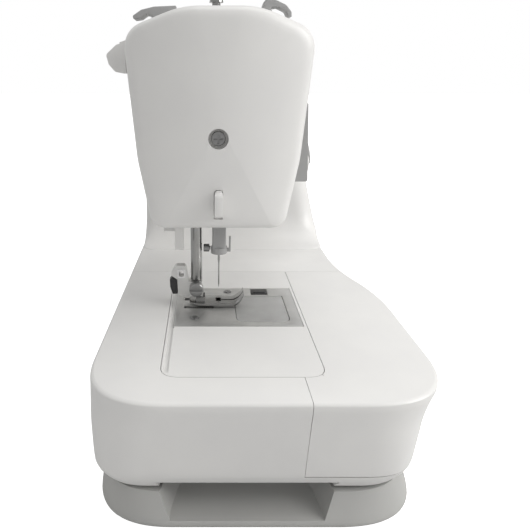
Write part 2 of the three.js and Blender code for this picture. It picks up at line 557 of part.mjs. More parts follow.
// The motor's shaft is one with its pulley.
part('motor_pulley', join(
  pulley(8, 2.6, [PULLEY_X, MOTOR.y, MOTOR.z], 14),
  rod(3, 36, 'x', [191, MOTOR.y, MOTOR.z], 14),
), MATERIAL.steel);
part('lower_shaft', join(
  rod(4, 242, 'x', [-12, LOWER_SHAFT.y, LOWER_SHAFT.z], 14),
  rod(11, 12, 'x', [HOOK.x - 6, LOWER_SHAFT.y, LOWER_SHAFT.z], 20), // skew gear beside the hook's own
), MATERIAL.steel);

// The toothed belt runs round the three pulleys, so its outline is the convex hull of their circles.
function beltOutline(grow) {
  const circle = (y, z, radius) => Array.from({ length: 16 }, (_, i) => {
    const turn = (i / 16) * 2 * Math.PI;
    return new THREE.Vector2(y + (radius + grow) * Math.cos(turn), z + (radius + grow) * Math.sin(turn));
  });
  const points = [...circle(0, SHAFT_Z, 17), ...circle(LOWER_SHAFT.y, LOWER_SHAFT.z, 17), ...circle(MOTOR.y, MOTOR.z, 8)];
  points.sort((a, b) => a.x - b.x || a.y - b.y);
  const turnsRight = (a, b, c) => (b.x - a.x) * (c.y - a.y) - (b.y - a.y) * (c.x - a.x) <= 0;
  const chain = (ordered) => ordered.reduce((hull, point) => {
    while (hull.length > 1 && turnsRight(hull.at(-2), hull.at(-1), point)) hull.pop();
    return [...hull, point];
  }, []);
  return [...chain(points).slice(0, -1), ...chain([...points].reverse()).slice(0, -1)];
}
part('timing_belt', cut(
  prism(beltOutline(1.8), 'x', PULLEY_X - 5, PULLEY_X + 5),
  prism(beltOutline(0.4), 'x', PULLEY_X - 6, PULLEY_X + 6),
), MATERIAL.rubber);
part('motor', turned([
  [0, 0], [23, 0], [24.5, 2], [24.5, 31], [23, 33], [6, 33], [6, 36], [3.3, 36], [3.3, 20], [0, 20],
], 'x', [169.6, MOTOR.y, MOTOR.z], 24), MATERIAL.casting);

// The cast frame: a C-shaped web behind the shafts, with a bearing block for each.
const web = slab([
  [-10, 248], [250, 248], [250, 26], [80, 26], [80, 66], [176, 66, 10, 2], [176, 218, 10, 2], [20, 218], [20, 171], [-4, 171],
  [-4, 218], [-10, 218],
], 'y', 34, 40);
const upperBlock = (x, front) => box([x, front, SHAFT_Z - 12], [x + 10, 35, SHAFT_Z + 12]);
const lowerBlock = (x) => box([x, -18, LOWER_SHAFT.z - 10], [x + 10, 35, LOWER_SHAFT.z + 10]);
const motorBlock = box([203.5, MOTOR.y - 14, MOTOR.z - 14], [209, 35, MOTOR.z + 14]);
// The needle bar and the presser bar slide through this bracket, and the lifting lever hangs from its lug.
const barBracket = cut(
  join(box([-7, -7, 171], [18, 35, 178]), box([6, 20.4, 154], [18, 24.6, 173])),
  rod(3.6, 30, 'z', [0, 0, 160], 14),
  rod(4.4, 30, 'z', [0, BAR_Y, 160], 18),
);
part('inner_frame', cut(
  join(web, upperBlock(20, -27), upperBlock(120, -12), upperBlock(238, -12), lowerBlock(84), lowerBlock(198), motorBlock, barBracket),
  rod(5.4, 300, 'x', [10, 0, SHAFT_Z], 16),
  rod(4.4, 300, 'x', [50, LOWER_SHAFT.y, LOWER_SHAFT.z], 14),
  rod(6.6, 60, 'x', [190, MOTOR.y, MOTOR.z], 16),
), MATERIAL.casting);
part('circuit_board', box([176, -70, 157], [244, -68.4, 205]), MATERIAL.board);

// ---- Needle bar, with the clamp and the needle ----

part('needle_bar', rod(3.2, 92, 'z', [0, 0, 148.4], 14), MATERIAL.chrome);
part('needle_clamp', cut(join(
  slab([[-4.6, -4.8, 1.5, 2], [4.6, -4.8, 1.5, 2], [4.6, 4.8, 1.5, 2], [-4.6, 4.8, 1.5, 2]], 'z', 128, 148),
  rod(5.7, 4.6, 'z', [0, 0, 124], 18),
  slab([[-1, -8.2, 0], [1, -8.2, 0], [1, -3, 0], [-1, -3, 0]], 'z', 125, 127.4), // thread hook
  box([-1, -8.2, 125], [1, -7, 136]),
), rod(1.1, 20, 'z', [0, 0, 120], 10)), MATERIAL.grey);
part('needle_clamp_screw', turned([[0, 0], [1.4, 0], [1.4, 0.8], [2.8, 0.8], [2.8, 4.9], [0, 4.9]], 'y', [0, 6, 127.6], 14), MATERIAL.steel);
part('needle', turned([[0, 97.4], [0.45, 100.6], [0.5, 116], [0.85, 119], [0.85, 139], [0, 139]], 'z', [0, 0, 0], 10), MATERIAL.chrome);

// ---- Presser bar, foot holder and foot ----

part('presser_bar', rod(4, 152, 'z', [0, BAR_Y, 104], 18), MATERIAL.chrome);
const FOOT_PIN = { y: 13.2, z: 90.4 }; // cross pin that the foot clips on by
part('foot_holder', cut(join(
  box([-4.5, 12.3, 92.4], [4.5, 21, 103.6]),
  box([-3.4, 11.15, 90], [3.4, 17, 93]),
  slab([
    [13, 92.4, 0], [28.6, 92.4, 1.5, 2], [29.4, 104.4, 1, 2], [34.6, 108, 2, 2], [31, 115, 3, 2], [23.6, 115, 2, 2], [21.6, 103.4, 0], [13, 103.4, 0],
  ], 'x', -3, 3),
), box([-10, 24.6, 106.6], [10, 28.8, 111.6]),
rod(1.3, 10, 'x', [-5, FOOT_PIN.y, FOOT_PIN.z], 12),
box([-5, FOOT_PIN.y - 1.3, 88], [5, FOOT_PIN.y + 1.3, FOOT_PIN.z])), MATERIAL.steel);
part('foot_holder_screw', turned([[0, 0], [5, 0], [5, 5.4], [0, 5.4]], 'x', [-10.2, BAR_Y, 99], 18), MATERIAL.steel);
part('foot_release_lever', slab([
  [29.6, 93.4, 0], [33.2, 93, 1, 2], [35, 98.6, 1, 2], [35.2, 104.4, 1, 2], [33.4, 106, 0], [30, 103.8, 0],
], 'x', -2.6, 2.6), MATERIAL.black);
const footSole = loft([
  [21, 2.4, 3.4, 6.5], [17.4, 1, 2.8, 7.2], [13.2, 0.1, 2.6, 7.8], [0, 0.1, 2.6, 8], [-9, 0.1, 2.4, 8], [-13, 1.4, 3.6, 8], [-16.4, 5.2, 6.8, 7.6], [-18, 8.8, 9.8, 7],
].map(([y, low, high, half]) => [
  [-half, low], [half, low], [half, high], [-half, high],
].map(([x, z]) => new THREE.Vector3(x, y, plateTop + 0.2 + z))));
part('presser_foot', cut(join(
  footSole,
  box([-5.4, 10, plateTop + 2], [-4, 16.4, FOOT_PIN.z + 1.2]),
  box([4, 10, plateTop + 2], [5.4, 16.4, FOOT_PIN.z + 1.2]),
  rod(0.9, 10.8, 'x', [-5.4, FOOT_PIN.y, FOOT_PIN.z], 10),
), slab([[-3.6, -1.8, 1.2, 2], [3.6, -1.8, 1.2, 2], [3.6, 2, 1.2, 2], [-3.6, 2, 1.2, 2]], 'z', 80, 100),
box([-0.9, -30, 80], [0.9, -2, 100])), MATERIAL.chrome);

// ---- Levers under and inside the head ----

part('presser_lifter', join(
  rod(4, 12, 'y', [12, 25, 160], 14),
  slab([[8, 160, 3, 2], [11, 136.4, 2, 2], [34, 132.8, 3, 2], [36, 138.4, 3, 2], [18, 143.3, 4, 2], [16, 160, 3, 2]], 'y', 31, 39.6),
), MATERIAL.shell);
part('buttonhole_lever', join(
  box([-11.6, 24.4, 146], [-8.4, 34.6, 196]),
  slab([[-12.4, 129.8, 1.2, 2], [-7.6, 129.8, 1.2, 2], [-7.6, 147, 0], [-12.4, 147, 0]], 'y', 24.4, 30.4),
), MATERIAL.shell);
part('take_up_lever', cut(join(
  slab([
    [-15.4, 228, 4, 2], [-12, 246, 4, 2], [-42, 262, 2, 2], [-51.5, 260.4, 2, 2], [-51.5, 256, 2, 2], [-42, 256, 3, 2],
    [-19, 243, 3, 2], [-24.6, 228, 4, 2],
  ], 'x', 14, 16),
  rod(5, 2, 'x', [14, -20, SHAFT_Z], 14),
  rod(2.4, 5.6, 'x', [14, -20, SHAFT_Z], 12),
), rod(1.5, 10, 'x', [10, -48, 258.4], 8)), MATERIAL.chrome);

// ---- Top of the arm ----

const topHook = (points, x0, x1) => prism(points.map((p) => new THREE.Vector2(...p)), 'x', x0, x1);
part('rear_thread_guide', topHook([
  [27, 279.7], [42, 276.9], [46.5, 279.4], [50.5, 276.8], [55.2, 276.2], [55.4, 278.2], [50, 281.6], [42, 283.4], [28, 284],
], 8, 24), MATERIAL.grey);
part('front_thread_guide', topHook([
  [-25, 279.8], [-28, 287.6], [-34, 287.4], [-41, 284.4], [-44.6, 280.4], [-44.8, 277.4], [-43, 277.2], [-41.4, 281], [-36, 283.4],
  [-31, 282.8], [-33, 279.9], [-38, 278.2], [-37, 276.9],
], 8, 22), MATERIAL.grey);
part('winding_thread_guide', join(
  rod(4.6, 3.2, 'z', [12, 2.7, 280], 16),
  rod(2.6, 3.2, 'z', [12, 2.7, 283], 12),
  rod(4.4, 4.4, 'z', [12, 2.7, 286], 16, 3.6),
), MATERIAL.chrome);

const { arms: handleArms, width: handleWidth } = HANDLE;
const handleEnd = handleArms[1] + handleWidth;
const grip = slab([
  [66.4, 264.6, 1, 1], [72.4, 263, 4, 2], [80, 256.6, 3, 2], [78.4, 250, 4, 2], [74, 245, 3, 2], [66.4, 243.6, 1, 1],
], 'x', handleArms[0], handleEnd);
const gripHollow = slab([[60, 240, 0], [72.6, 240, 0], [73.6, 252, 3, 2], [71.6, 259.4, 2, 2], [60, 259.4, 0]], 'x', handleArms[0] + handleWidth, handleArms[1]);
// An arm runs from its eye in the pocket, over the rear corner, to the end of the grip.
const handleArm = slab([
  [28.6, 263, 5, 3], [28.6, 273.4, 5, 3], [42, 273.4, 4, 2], [70, 264.6, 0], [70, 250, 0], [62, 256, 3, 2], [50, 259.6, 4, 2], [40, 262, 3, 2],
], 'x', 0, handleWidth);
const handlePin = rod(2.4, handleWidth + 5, 'x', [-2.5, HANDLE.y, HANDLE.z], 14);
const bothArms = handleArms.map((x) => join(handleArm, handlePin).translate([x, 0, 0]));
part('carrying_handle', join(cut(grip, gripHollow), ...bothArms), MATERIAL.shell);
part('spool_pin', join(
  turned([[0, 0], [2, 0], [3, 2], [3, 62], [0, 62]], 'x', [104, 12, 286.6], 12),
  slab([[163, 279.8, 0], [174, 279.8, 0], [171, 290.4, 2, 2], [165, 290.4, 2, 2]], 'y', 7, 17),
), MATERIAL.shell);
part('winder_spindle', turned([[0, 0], [3, 0], [3, 3], [9, 3], [9, 4.4], [2.9, 4.4], [2.9, 12], [2, 13], [0, 13]], 'z', [224, -16, 276.9], 16), MATERIAL.black);
part('tension_dial', turned([[0, 0], [15, 0], [15, 5], [13.6, 6.4], [0, 6.4]], 'z', [80, -18, 279.9], 24), MATERIAL.grey);

export default machine;
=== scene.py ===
import bpy, json, math
from mathutils import Vector, Matrix


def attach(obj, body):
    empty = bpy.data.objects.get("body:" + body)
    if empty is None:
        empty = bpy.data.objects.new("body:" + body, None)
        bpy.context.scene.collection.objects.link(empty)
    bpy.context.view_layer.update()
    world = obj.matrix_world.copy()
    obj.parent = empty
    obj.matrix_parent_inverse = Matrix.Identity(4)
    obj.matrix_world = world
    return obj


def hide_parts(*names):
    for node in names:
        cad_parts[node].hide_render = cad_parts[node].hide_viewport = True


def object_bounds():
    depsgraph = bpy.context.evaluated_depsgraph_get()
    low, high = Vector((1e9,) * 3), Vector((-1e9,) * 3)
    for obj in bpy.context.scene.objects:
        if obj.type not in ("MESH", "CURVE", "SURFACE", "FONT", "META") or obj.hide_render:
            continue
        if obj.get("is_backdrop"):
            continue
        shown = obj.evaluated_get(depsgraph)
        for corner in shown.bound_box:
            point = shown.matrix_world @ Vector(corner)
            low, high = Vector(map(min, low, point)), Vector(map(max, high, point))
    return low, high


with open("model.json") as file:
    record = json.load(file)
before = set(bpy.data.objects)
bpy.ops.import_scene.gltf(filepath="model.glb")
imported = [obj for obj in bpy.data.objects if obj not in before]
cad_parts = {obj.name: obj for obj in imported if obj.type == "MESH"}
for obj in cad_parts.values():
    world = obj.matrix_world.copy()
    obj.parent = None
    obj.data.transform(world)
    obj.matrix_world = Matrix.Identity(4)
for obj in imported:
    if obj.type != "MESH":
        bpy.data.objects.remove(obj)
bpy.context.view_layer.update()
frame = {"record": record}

mm = 0.001
needle = Vector((-80.3, 21.8, 0))  # where the needle stands, in millimetres of this frame
farOut = 400


# Modelling helpers. Places are in millimetres from the needle.

def place(p):
    return (Vector(p) + needle) * mm


def only(*pieces):
    bpy.ops.object.select_all(action="DESELECT")
    for piece in pieces:
        piece.select_set(True)
    bpy.context.view_layer.objects.active = pieces[0]


def inEdit(piece, steps):
    only(piece)
    bpy.ops.object.mode_set(mode="EDIT")
    bpy.ops.mesh.select_all(action="SELECT")
    steps()
    bpy.ops.object.mode_set(mode="OBJECT")
    return piece


def loft(rings):  # a grid rolled over rings of points, its seam merged and its ends closed
    count, levels = len(rings[0]), len(rings)
    bpy.ops.object.select_all(action="DESELECT")
    bpy.ops.mesh.primitive_grid_add(x_subdivisions=count, y_subdivisions=levels - 1, size=1)
    piece = bpy.context.object
    flat = []
    for ring in rings:
        for i in range(count + 1):
            flat += list(place(ring[i % count]))
    piece.data.vertices.foreach_set("co", flat)

    def close():
        bpy.ops.mesh.remove_doubles(threshold=1e-6)
        bpy.ops.mesh.select_all(action="DESELECT")
        bpy.ops.mesh.select_mode(type="EDGE")
        bpy.ops.mesh.select_non_manifold()
        bpy.ops.mesh.fill_holes(sides=0)
        bpy.ops.mesh.select_all(action="SELECT")
        bpy.ops.mesh.normals_make_consistent(inside=False)
    return inEdit(piece, close)


def block(low, high):
    bpy.ops.object.select_all(action="DESELECT")
    bpy.ops.mesh.primitive_cube_add(size=1)
    piece = bpy.context.object
    lowAt, highAt = place(low), place(high)
    piece.data.transform(Matrix.Translation((lowAt + highAt) / 2) @ Matrix.Diagonal((*(highAt - lowAt), 1)))
    return piece


def turnTo(axis, start, a, b, along):  # a point of a turned piece, along the axis it runs on
    x, y, z = start
    spots = {"x": (x + along, y + a, z + b), "y": (x + a, y + along, z + b), "z": (x + a, y + b, z + along)}
    return spots[axis]


def turned(profile, axis, start, sides=56):  # a profile of (radius, height), spun about its axis
    angles = [2 * math.pi * i / sides for i in range(sides)]
    return loft([[turnTo(axis, start, radius * math.cos(a), radius * math.sin(a), height) for a in angles]
                 for radius, height in profile])


def rod(radius, length, axis, start, sides=40, endRadius=None):
    end = radius if endRadius is None else endRadius
    return turned([(radius, 0), (end, length)], axis, start, sides)


def rounded(corners, fine=3):  # an outline whose corners are (a, b, radius, steps)
    out, count = [], len(corners)
    for i, corner in enumerate(corners):
        at = Vector(corner[:2])
        radius = corner[2] if len(corner) > 2 else 0
        steps = (corner[3] if len(corner) > 3 else 4) * fine
        if radius <= 0:
            out.append(at)
            continue
        before, after = Vector(corners[i - 1][:2]) - at, Vector(corners[(i + 1) % count][:2]) - at
        half = before.angle(after) / 2
        reach = min(radius / math.tan(half), 0.49 * before.length, 0.49 * after.length)
        first, last = at + before.normalized() * reach, at + after.normalized() * reach
        for k in range(steps + 1):
            t = k / steps
            out.append(first * (1 - t) ** 2 + at * 2 * t * (1 - t) + last * t * t)
    return out


def slab(corners, axis, low, high, fine=3):
    outline = rounded(corners, fine)
    turns = {"z": lambda p, h: (p[0], p[1], h), "y": lambda p, h: (p[0], h, p[1]),
             "x": lambda p, h: (h, p[0], p[1])}
    return loft([[turns[axis](p, height) for p in outline] for height in (low, high)])


def rectangle(low, high, radius=0, steps=4):  # its corners, for rounded or slab
    spots = ((low[0], low[1]), (high[0], low[1]), (high[0], high[1]), (low[0], high[1]))
    return [(*spot, radius, steps) for spot in spots]


def zone(left, right, bottom=-1, top=300, wide=200):  # a block to part pieces with, past the whole depth
    return block((left, -wide, bottom), (right, wide, top))


def combine(kind, first, others):
    for other in others:
        only(first)
        change = first.modifiers.new("change", "BOOLEAN")
        change.operation, change.solver, change.object = kind, "MANIFOLD", other
        bpy.ops.object.modifier_apply(modifier=change.name)
        bpy.data.objects.remove(other)
    return first


def join(first, *others):
    return combine("UNION", first, others)


def cut(first, *others):
    return combine("DIFFERENCE", first, others)


def common(first, *others):
    return combine("INTERSECT", first, others)


def spare(piece):  # a second copy with a mesh of its own
    other = piece.copy()
    other.data = piece.data.copy()
    bpy.context.collection.objects.link(other)
    return other


def between(stations, extra=5):  # more stations, on smooth curves that never overshoot
    keys = sorted({k for s in stations for k in s})
    full = [{k: s.get(k, 1 if k in ("round", "scale") else 0) for k in keys} for s in stations]
    last = len(full) - 1

    def slope(i, k):
        if i in (0, last):
            return 0
        a, b = full[i][k] - full[i - 1][k], full[i + 1][k] - full[i][k]
        return 0 if a * b <= 0 else 2 * a * b / (a + b)
    out = []
    for i in range(last):
        for j in range(extra):
            t = j / extra
            leave, arrive = t ** 3 - 2 * t * t + t, t ** 3 - t * t
            out.append({k: full[i][k] * (2 * t ** 3 - 3 * t * t + 1) + slope(i, k) * leave
                        + full[i + 1][k] * (3 * t * t - 2 * t ** 3) + slope(i + 1, k) * arrive for k in keys})
    return out + [full[last]]


def mix(a, b, t):
    return a + (b - a) * t


# Finishes: shared effects first, then one dictionary of values for each finish.

def newEffect(name, outlets, scaleDefaults):
    effect = bpy.data.node_groups.new(name, "ShaderNodeTree")
    for outlet in outlets:
        effect.interface.new_socket(outlet, in_out="OUTPUT", socket_type="NodeSocketFloat")
    for inlet, value in scaleDefaults:
        socket = effect.interface.new_socket(inlet, in_out="INPUT", socket_type="NodeSocketFloat")
        socket.default_value = value
    ends = [effect.nodes.new(kind) for kind in ("NodeGroupOutput", "NodeGroupInput", "ShaderNodeTexCoord")]
    return effect, *ends


def spread(effect, source, low, high):
    node = effect.nodes.new("ShaderNodeMapRange")
    effect.links.new(source, node.inputs["Value"])
    node.inputs["From Min"].default_value, node.inputs["From Max"].default_value = 0.3, 0.7
    for key, value in (("To Min", low), ("To Max", high)):
        if isinstance(value, float):
            node.inputs[key].default_value = value
        else:
            effect.links.new(value, node.inputs[key])
    return node.outputs["Result"]


def noise(effect, coordinates, scale, detail, stretch=(1, 1, 1)):
    mapping = effect.nodes.new("ShaderNodeMapping")
    mapping.inputs["Scale"].default_value = stretch
    node = effect.nodes.new("ShaderNodeTexNoise")
    node.inputs["Scale"].default_value, node.inputs["Detail"].default_value = scale, detail
    effect.links.new(coordinates, mapping.inputs["Vector"])
    effect.links.new(mapping.outputs["Vector"], node.inputs["Vector"])
    return node.outputs["Fac"]


def surfaceEffect(name, grain, handling, stretch=(1, 1, 1)):
    defaults = (("Smooth", 0.3), ("Rough", 0.5))
    effect, out, inlet, spot = newEffect(name, ("Roughness", "Height", "Shade"), defaults)
    fine = noise(effect, spot.outputs["Object"], grain, 3, stretch)
    wide = noise(effect, spot.outputs["Object"], handling, 4)
    roughness = spread(effect, wide, inlet.outputs["Smooth"], inlet.outputs["Rough"])
    effect.links.new(roughness, out.inputs["Roughness"])
    effect.links.new(fine, out.inputs["Height"])
    effect.links.new(spread(effect, wide, 0.0, 1.0), out.inputs["Shade"])
    return effect


effects = {
    "moulded": surfaceEffect("mouldedGrain", 1500, 26),
    "brushed": surfaceEffect("brushedGrain", 260, 40, (1, 14, 1)),
    "polished": surfaceEffect("polishedHaze", 500, 60),
}
finishes = {  # effect, light and dark tint, smooth and rough, metal, bump
    "white_plastic": ("moulded", (0.80, 0.795, 0.78), (0.765, 0.76, 0.75), 0.34, 0.46, 0, 0.05),
    "base_plastic": ("moulded", (0.46, 0.46, 0.445), (0.43, 0.43, 0.42), 0.42, 0.56, 0, 0.08),
    "grey_plastic": ("moulded", (0.40, 0.40, 0.40), (0.36, 0.36, 0.36), 0.32, 0.46, 0, 0.06),
    "black_plastic": ("moulded", (0.022, 0.022, 0.024), (0.03, 0.03, 0.031), 0.34, 0.52, 0, 0.08),
    "plate_steel": ("brushed", (0.74, 0.74, 0.73), (0.60, 0.60, 0.59), 0.34, 0.5, 1, 0.09),
    "machined_steel": ("brushed", (0.34, 0.34, 0.34), (0.26, 0.26, 0.26), 0.26, 0.4, 1, 0.05),
    "chrome": ("polished", (0.40, 0.40, 0.395), (0.31, 0.31, 0.305), 0.12, 0.22, 1, 0.015),
    "cast_alloy": ("moulded", (0.42, 0.43, 0.44), (0.34, 0.35, 0.36), 0.5, 0.68, 1, 0.25),
    "clear_plastic": ("polished", (0.80, 0.80, 0.79), (0.66, 0.66, 0.65), 0.10, 0.22, 0, 0.01),
    "rubber": ("moulded", (0.03, 0.03, 0.03), (0.045, 0.045, 0.045), 0.75, 0.92, 0, 0.2),
    "board": ("moulded", (0.03, 0.15, 0.06), (0.025, 0.11, 0.05), 0.45, 0.6, 0, 0.1),
    "screen": ("polished", (0.27, 0.32, 0.28), (0.24, 0.29, 0.25), 0.12, 0.2, 0, 0.01),
}
materials = {}
for name, (effectName, light, dark, smooth, rough, metal, bump) in finishes.items():
    material = bpy.data.materials.new(name)
    material.use_nodes = True
    tree = material.node_tree
    shader = tree.nodes["Principled BSDF"]
    surface = tree.nodes.new("ShaderNodeGroup")
    surface.node_tree = effects[effectName]
    surface.inputs["Smooth"].default_value, surface.inputs["Rough"].default_value = smooth, rough
    tint = tree.nodes.new("ShaderNodeMix")
    tint.data_type = "RGBA"
    tint.inputs["A"].default_value, tint.inputs["B"].default_value = (*light, 1), (*dark, 1)
    relief = tree.nodes.new("ShaderNodeBump")
    relief.inputs["Strength"].default_value, relief.inputs["Distance"].default_value = bump, 0.0004
    tree.links.new(surface.outputs["Shade"], tint.inputs["Factor"])
    tree.links.new(tint.outputs["Result"], shader.inputs["Base Color"])
    tree.links.new(surface.outputs["Roughness"], shader.inputs["Roughness"])
    tree.links.new(surface.outputs["Height"], relief.inputs["Height"])
    tree.links.new(relief.outputs["Normal"], shader.inputs["Normal"])
    shader.inputs["Metallic"].default_value = metal
    if name == "clear_plastic":
        shader.inputs["Transmission Weight"].default_value, shader.inputs["IOR"].default_value = 0.55, 1.49
    if name == "white_plastic":
        shader.inputs["Coat Weight"].default_value, shader.inputs["Coat Roughness"].default_value = 0.12, 0.3
    materials[name] = material
print("finishes ready")

nodeFinish = {
    "white_plastic": "front_casing rear_casing face_cover thread_cutter start_stop_button reverse_button"
                     " speed_slider accessory_lid table_body free_arm_cover handwheel presser_lifter"
                     " buttonhole_lever carrying_handle spool_pin",
    "base_plastic": "base_tray",
    "grey_plastic": "control_panel stitch_dial needle_clamp rear_thread_guide front_thread_guide"
                    " tension_dial",
    "black_plastic": "power_switch power_socket cover_latch bobbin_case foot_release_lever winder_spindle",
    "plate_steel": "needle_plate feed_dog foot_holder",
    "machined_steel": "face_cover_screw plate_screw_1 plate_screw_2 rotary_hook upper_shaft upper_pulley"
                      " lower_pulley motor_pulley lower_shaft needle_clamp_screw foot_holder_screw",
    "chrome": "needle_bar needle presser_bar presser_foot take_up_lever winding_thread_guide",
    "cast_alloy": "motor inner_frame",
    "clear_plastic": "bobbin_cover bobbin",
    "rubber": "rubber_foot_1 rubber_foot_2 rubber_foot_3 rubber_foot_4 timing_belt",
    "board": "circuit_board",
    "screen": "display_window",
}
finishOf = {node: slot for slot, nodes in nodeFinish.items() for node in nodes.split()}
bodyOf = {node: body for body, nodes in frame["record"]["behaviour"]["bodies"].items() for node in nodes}
for node, slot in finishOf.items():
    cadPiece = bpy.data.objects.get(node)
    if cadPiece:
        cadPiece.data.materials.clear()
        cadPiece.data.materials.append(materials[slot])


def done(piece, node, bevel=0.0, sharp=32):
    only(piece)
    piece.name = piece.data.name = "fine_" + node
    if bevel:
        edge = piece.modifiers.new("edge", "BEVEL")
        edge.width, edge.segments = bevel * mm, 3
        edge.limit_method, edge.angle_limit = "ANGLE", math.radians(40)
        bpy.ops.object.modifier_apply(modifier=edge.name)
    bpy.ops.object.shade_smooth_by_angle(angle=math.radians(sharp))
    piece.data.materials.clear()
    piece.data.materials.append(materials[finishOf[node]])
    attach(piece, bodyOf[node])
    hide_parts(node)
    return piece


# The plan of the bed, the table and the base

bed = {"end": -130, "right": 268, "rear": 77, "pillarRear": 68.5, "front": -123.5, "waist": -103.5,
       "joinX": 67, "skin": 3, "gap": 0.3, "tableBottom": 22, "lidBottom": 32.5}
bedLevels = [
    {"z": 22, "end": 14, "rear": 5.5, "front": 15.5, "right": 3, "round": 0.6},
    {"z": 32, "end": 9, "rear": 0.8, "front": 10.6, "right": 0, "round": 0.62},
    {"z": 47, "end": 6.5, "rear": 0.4, "front": 9, "right": 0, "round": 0.68},
    {"z": 62, "end": 3.8, "rear": 0, "front": 7, "right": 0, "round": 0.8},
    {"z": 74, "end": 1.6, "rear": 0, "front": 3.2, "right": 0, "round": 0.93},
    {"z": 81, "end": 0.2, "rear": 0, "front": 0.4, "right": 0, "round": 1},
    {"z": 83.6, "end": 0.3, "rear": 0.3, "front": 0.3, "right": 0.3, "round": 1},
    {"z": 85, "end": 2, "rear": 2, "front": 2, "right": 2, "round": 1},
]
baseLevels = [
    {"z": 1.2, "end": 4.6, "rear": 3, "front": 8.6, "right": 4, "round": 0.95},
    {"z": 3.4, "end": 3.6, "rear": 1.8, "front": 7.2, "right": 2, "round": 0.95},
    {"z": 12, "end": 7.6, "rear": 3, "front": 9.4, "right": 2, "round": 0.9},
    {"z": 20, "end": 11.6, "rear": 4.6, "front": 12.4, "right": 3, "round": 0.85},
]


def planRing(level, inset=0):
    left, side = bed["end"] + level["end"] + inset, bed["right"] - level["right"] - inset
    forward, back, turn = level["front"] + inset, level["rear"] + inset, level.get("round", 1)
    return [(p[0], p[1], level["z"]) for p in rounded([
        (left, bed["rear"] - back, 46 * turn - inset, 6),
        (side, bed["pillarRear"] - back, 26 - inset, 4),
        (side, bed["waist"] + forward, 30 - inset, 4),
        (77, bed["waist"] + forward, 200, 3),
        (18, bed["front"] + forward, 200, 3),
        (left, bed["front"] + forward, 50 * turn - inset, 6),
    ])]


def planLoft(levels, inset=0, smooth=4):
    stations = between(levels, smooth) if smooth > 1 else levels
    return loft([planRing(level, inset) for level in stations])


cavityLevels = [{**bedLevels[0], "z": 10}, bedLevels[0], bedLevels[1], bedLevels[3], bedLevels[4],
                {**bedLevels[5], "z": 82}]
bedOuter = planLoft(bedLevels)
bedCavity = planLoft(cavityLevels, bed["skin"], 3)
print("bed sections ready")

# The arm and the pillar

arm = {"centre": 1.3, "middle": 216, "half": 57, "narrowsBelow": 250, "top": 279.5, "skin": 3}


def sideHalf(z):  # half the head's width, which narrows towards its bottom on a curve
    drop = max(0, arm["narrowsBelow"] - z)
    return arm["half"] - 5.1 * (drop / 50) ** 1.52


def armRing(s, inset=0):
    bottom, wide = s["bottom"], s.get("spread", 0)
    side = mix(bottom, 245, 0.45)
    low, middle = sideHalf(bottom) - inset, sideHalf(side) - inset
    section = rounded([
        (mix(arm["centre"] + low, 68 - inset, wide), bottom + inset, 10, 3),
        (mix(arm["centre"] + middle, 65 - inset, wide), side, 60, 3),
        (mix(58.3, 60.5, wide) - inset, 267.5 - inset, 16, 3),
        (23, arm["top"] - inset, 60, 3),
        (-21, arm["top"] - inset, 60, 3),
        (mix(-55.7, -62.5, wide) + inset, 267 - inset, 16, 3),
        (mix(arm["centre"] - middle, -73.8 + inset, wide), side, 60, 3),
        (mix(arm["centre"] - low, -80 + inset, wide), bottom + inset, 10, 3),
    ])
    ring = []
    for y, z in section:
        aside = (y - arm["centre"]) * s.get("scale", 1)
        bulge = s.get("bulge", 0) * (aside / arm["half"]) ** 2
        height = arm["middle"] + (z - arm["middle"]) * s.get("scale", 1)
        ring.append((s["x"] + bulge, arm["centre"] + aside, height))
    return ring


headStations = [
    {"x": x, "scale": scale, "bulge": bulge, "bottom": 150.5, "spread": 0}
    for x, scale, bulge in [(-42.4, 0.04, 12), (-42.2, 0.6, 12), (-41.8, 0.88, 12), (-40.4, 0.955, 12),
                            (-37.5, 0.985, 12), (-32, 1, 12), (-12, 1, 0), (34, 1, 0)]]
armStations = [
    {"x": x, "bottom": bottom, "spread": wide, "scale": scale, "bulge": 0}
    for x, bottom, wide, scale in [
        (43, 154.5, 0, 1), (52, 167, 0, 1), (60, 182, 0, 1), (70, 190.5, 0, 1), (84, 193, 0.05, 1),
        (105, 193, 0.25, 1), (130, 193, 0.62, 1), (155, 193, 0.92, 1), (175, 193, 1, 1), (260, 193, 1, 1),
        (265.5, 193, 1, 0.985), (268, 193, 1, 0.955)]]
armOuter = loft([armRing(s) for s in between(headStations + armStations, 4)])
inner = [{**s, "x": s["x"] + arm["skin"]} for s in headStations[2:] + armStations[:-2]]
armCavity = loft([armRing(s, arm["skin"]) for s in between(inner, 3)])
pillar = {"leanFrom": 95, "lean": 0.238, "rearLeanFrom": 180, "rearLean": 0.11,
          "rightLeanFrom": 240, "rightLean": 0.2}


def pillarRing(s, inset=0):
    z = s["z"]
    front = bed["waist"] - 0.5 + max(0, z - pillar["leanFrom"]) * pillar["lean"] + inset
    rear = bed["pillarRear"] + 1.4 - max(0, z - pillar["rearLeanFrom"]) * pillar["rearLean"] - inset
    right = bed["right"] - 0.4 - max(0, z - pillar["rightLeanFrom"]) * pillar["rightLean"] - inset
    left = s["left"] + inset
    corners = [(left, rear, 13, 4), (right, rear - 2.2, 18, 3), (right, front + 1, 24, 3),
               (left, front, 20, 5)]
    return [(p[0], p[1], z) for p in rounded(corners)]


pillarStations = [{"z": z, "left": left} for z, left in [
    (80, 128), (85.2, 128), (87.4, 139), (92, 149), (100, 157.5), (112, 163), (135, 165.5), (160, 165),
    (176, 161), (186, 154), (194, 143), (206, 138), (260, 150)]]
pillarOuter = loft([pillarRing(s) for s in between(pillarStations, 4)])
pillarCavity = loft([pillarRing({"z": 77, "left": 128}, 6), pillarRing({"z": 85.2, "left": 128}, 3.6)]
                    + [pillarRing(s, 3) for s in between(pillarStations[2:-1], 3)])
print("arm and pillar sections ready")

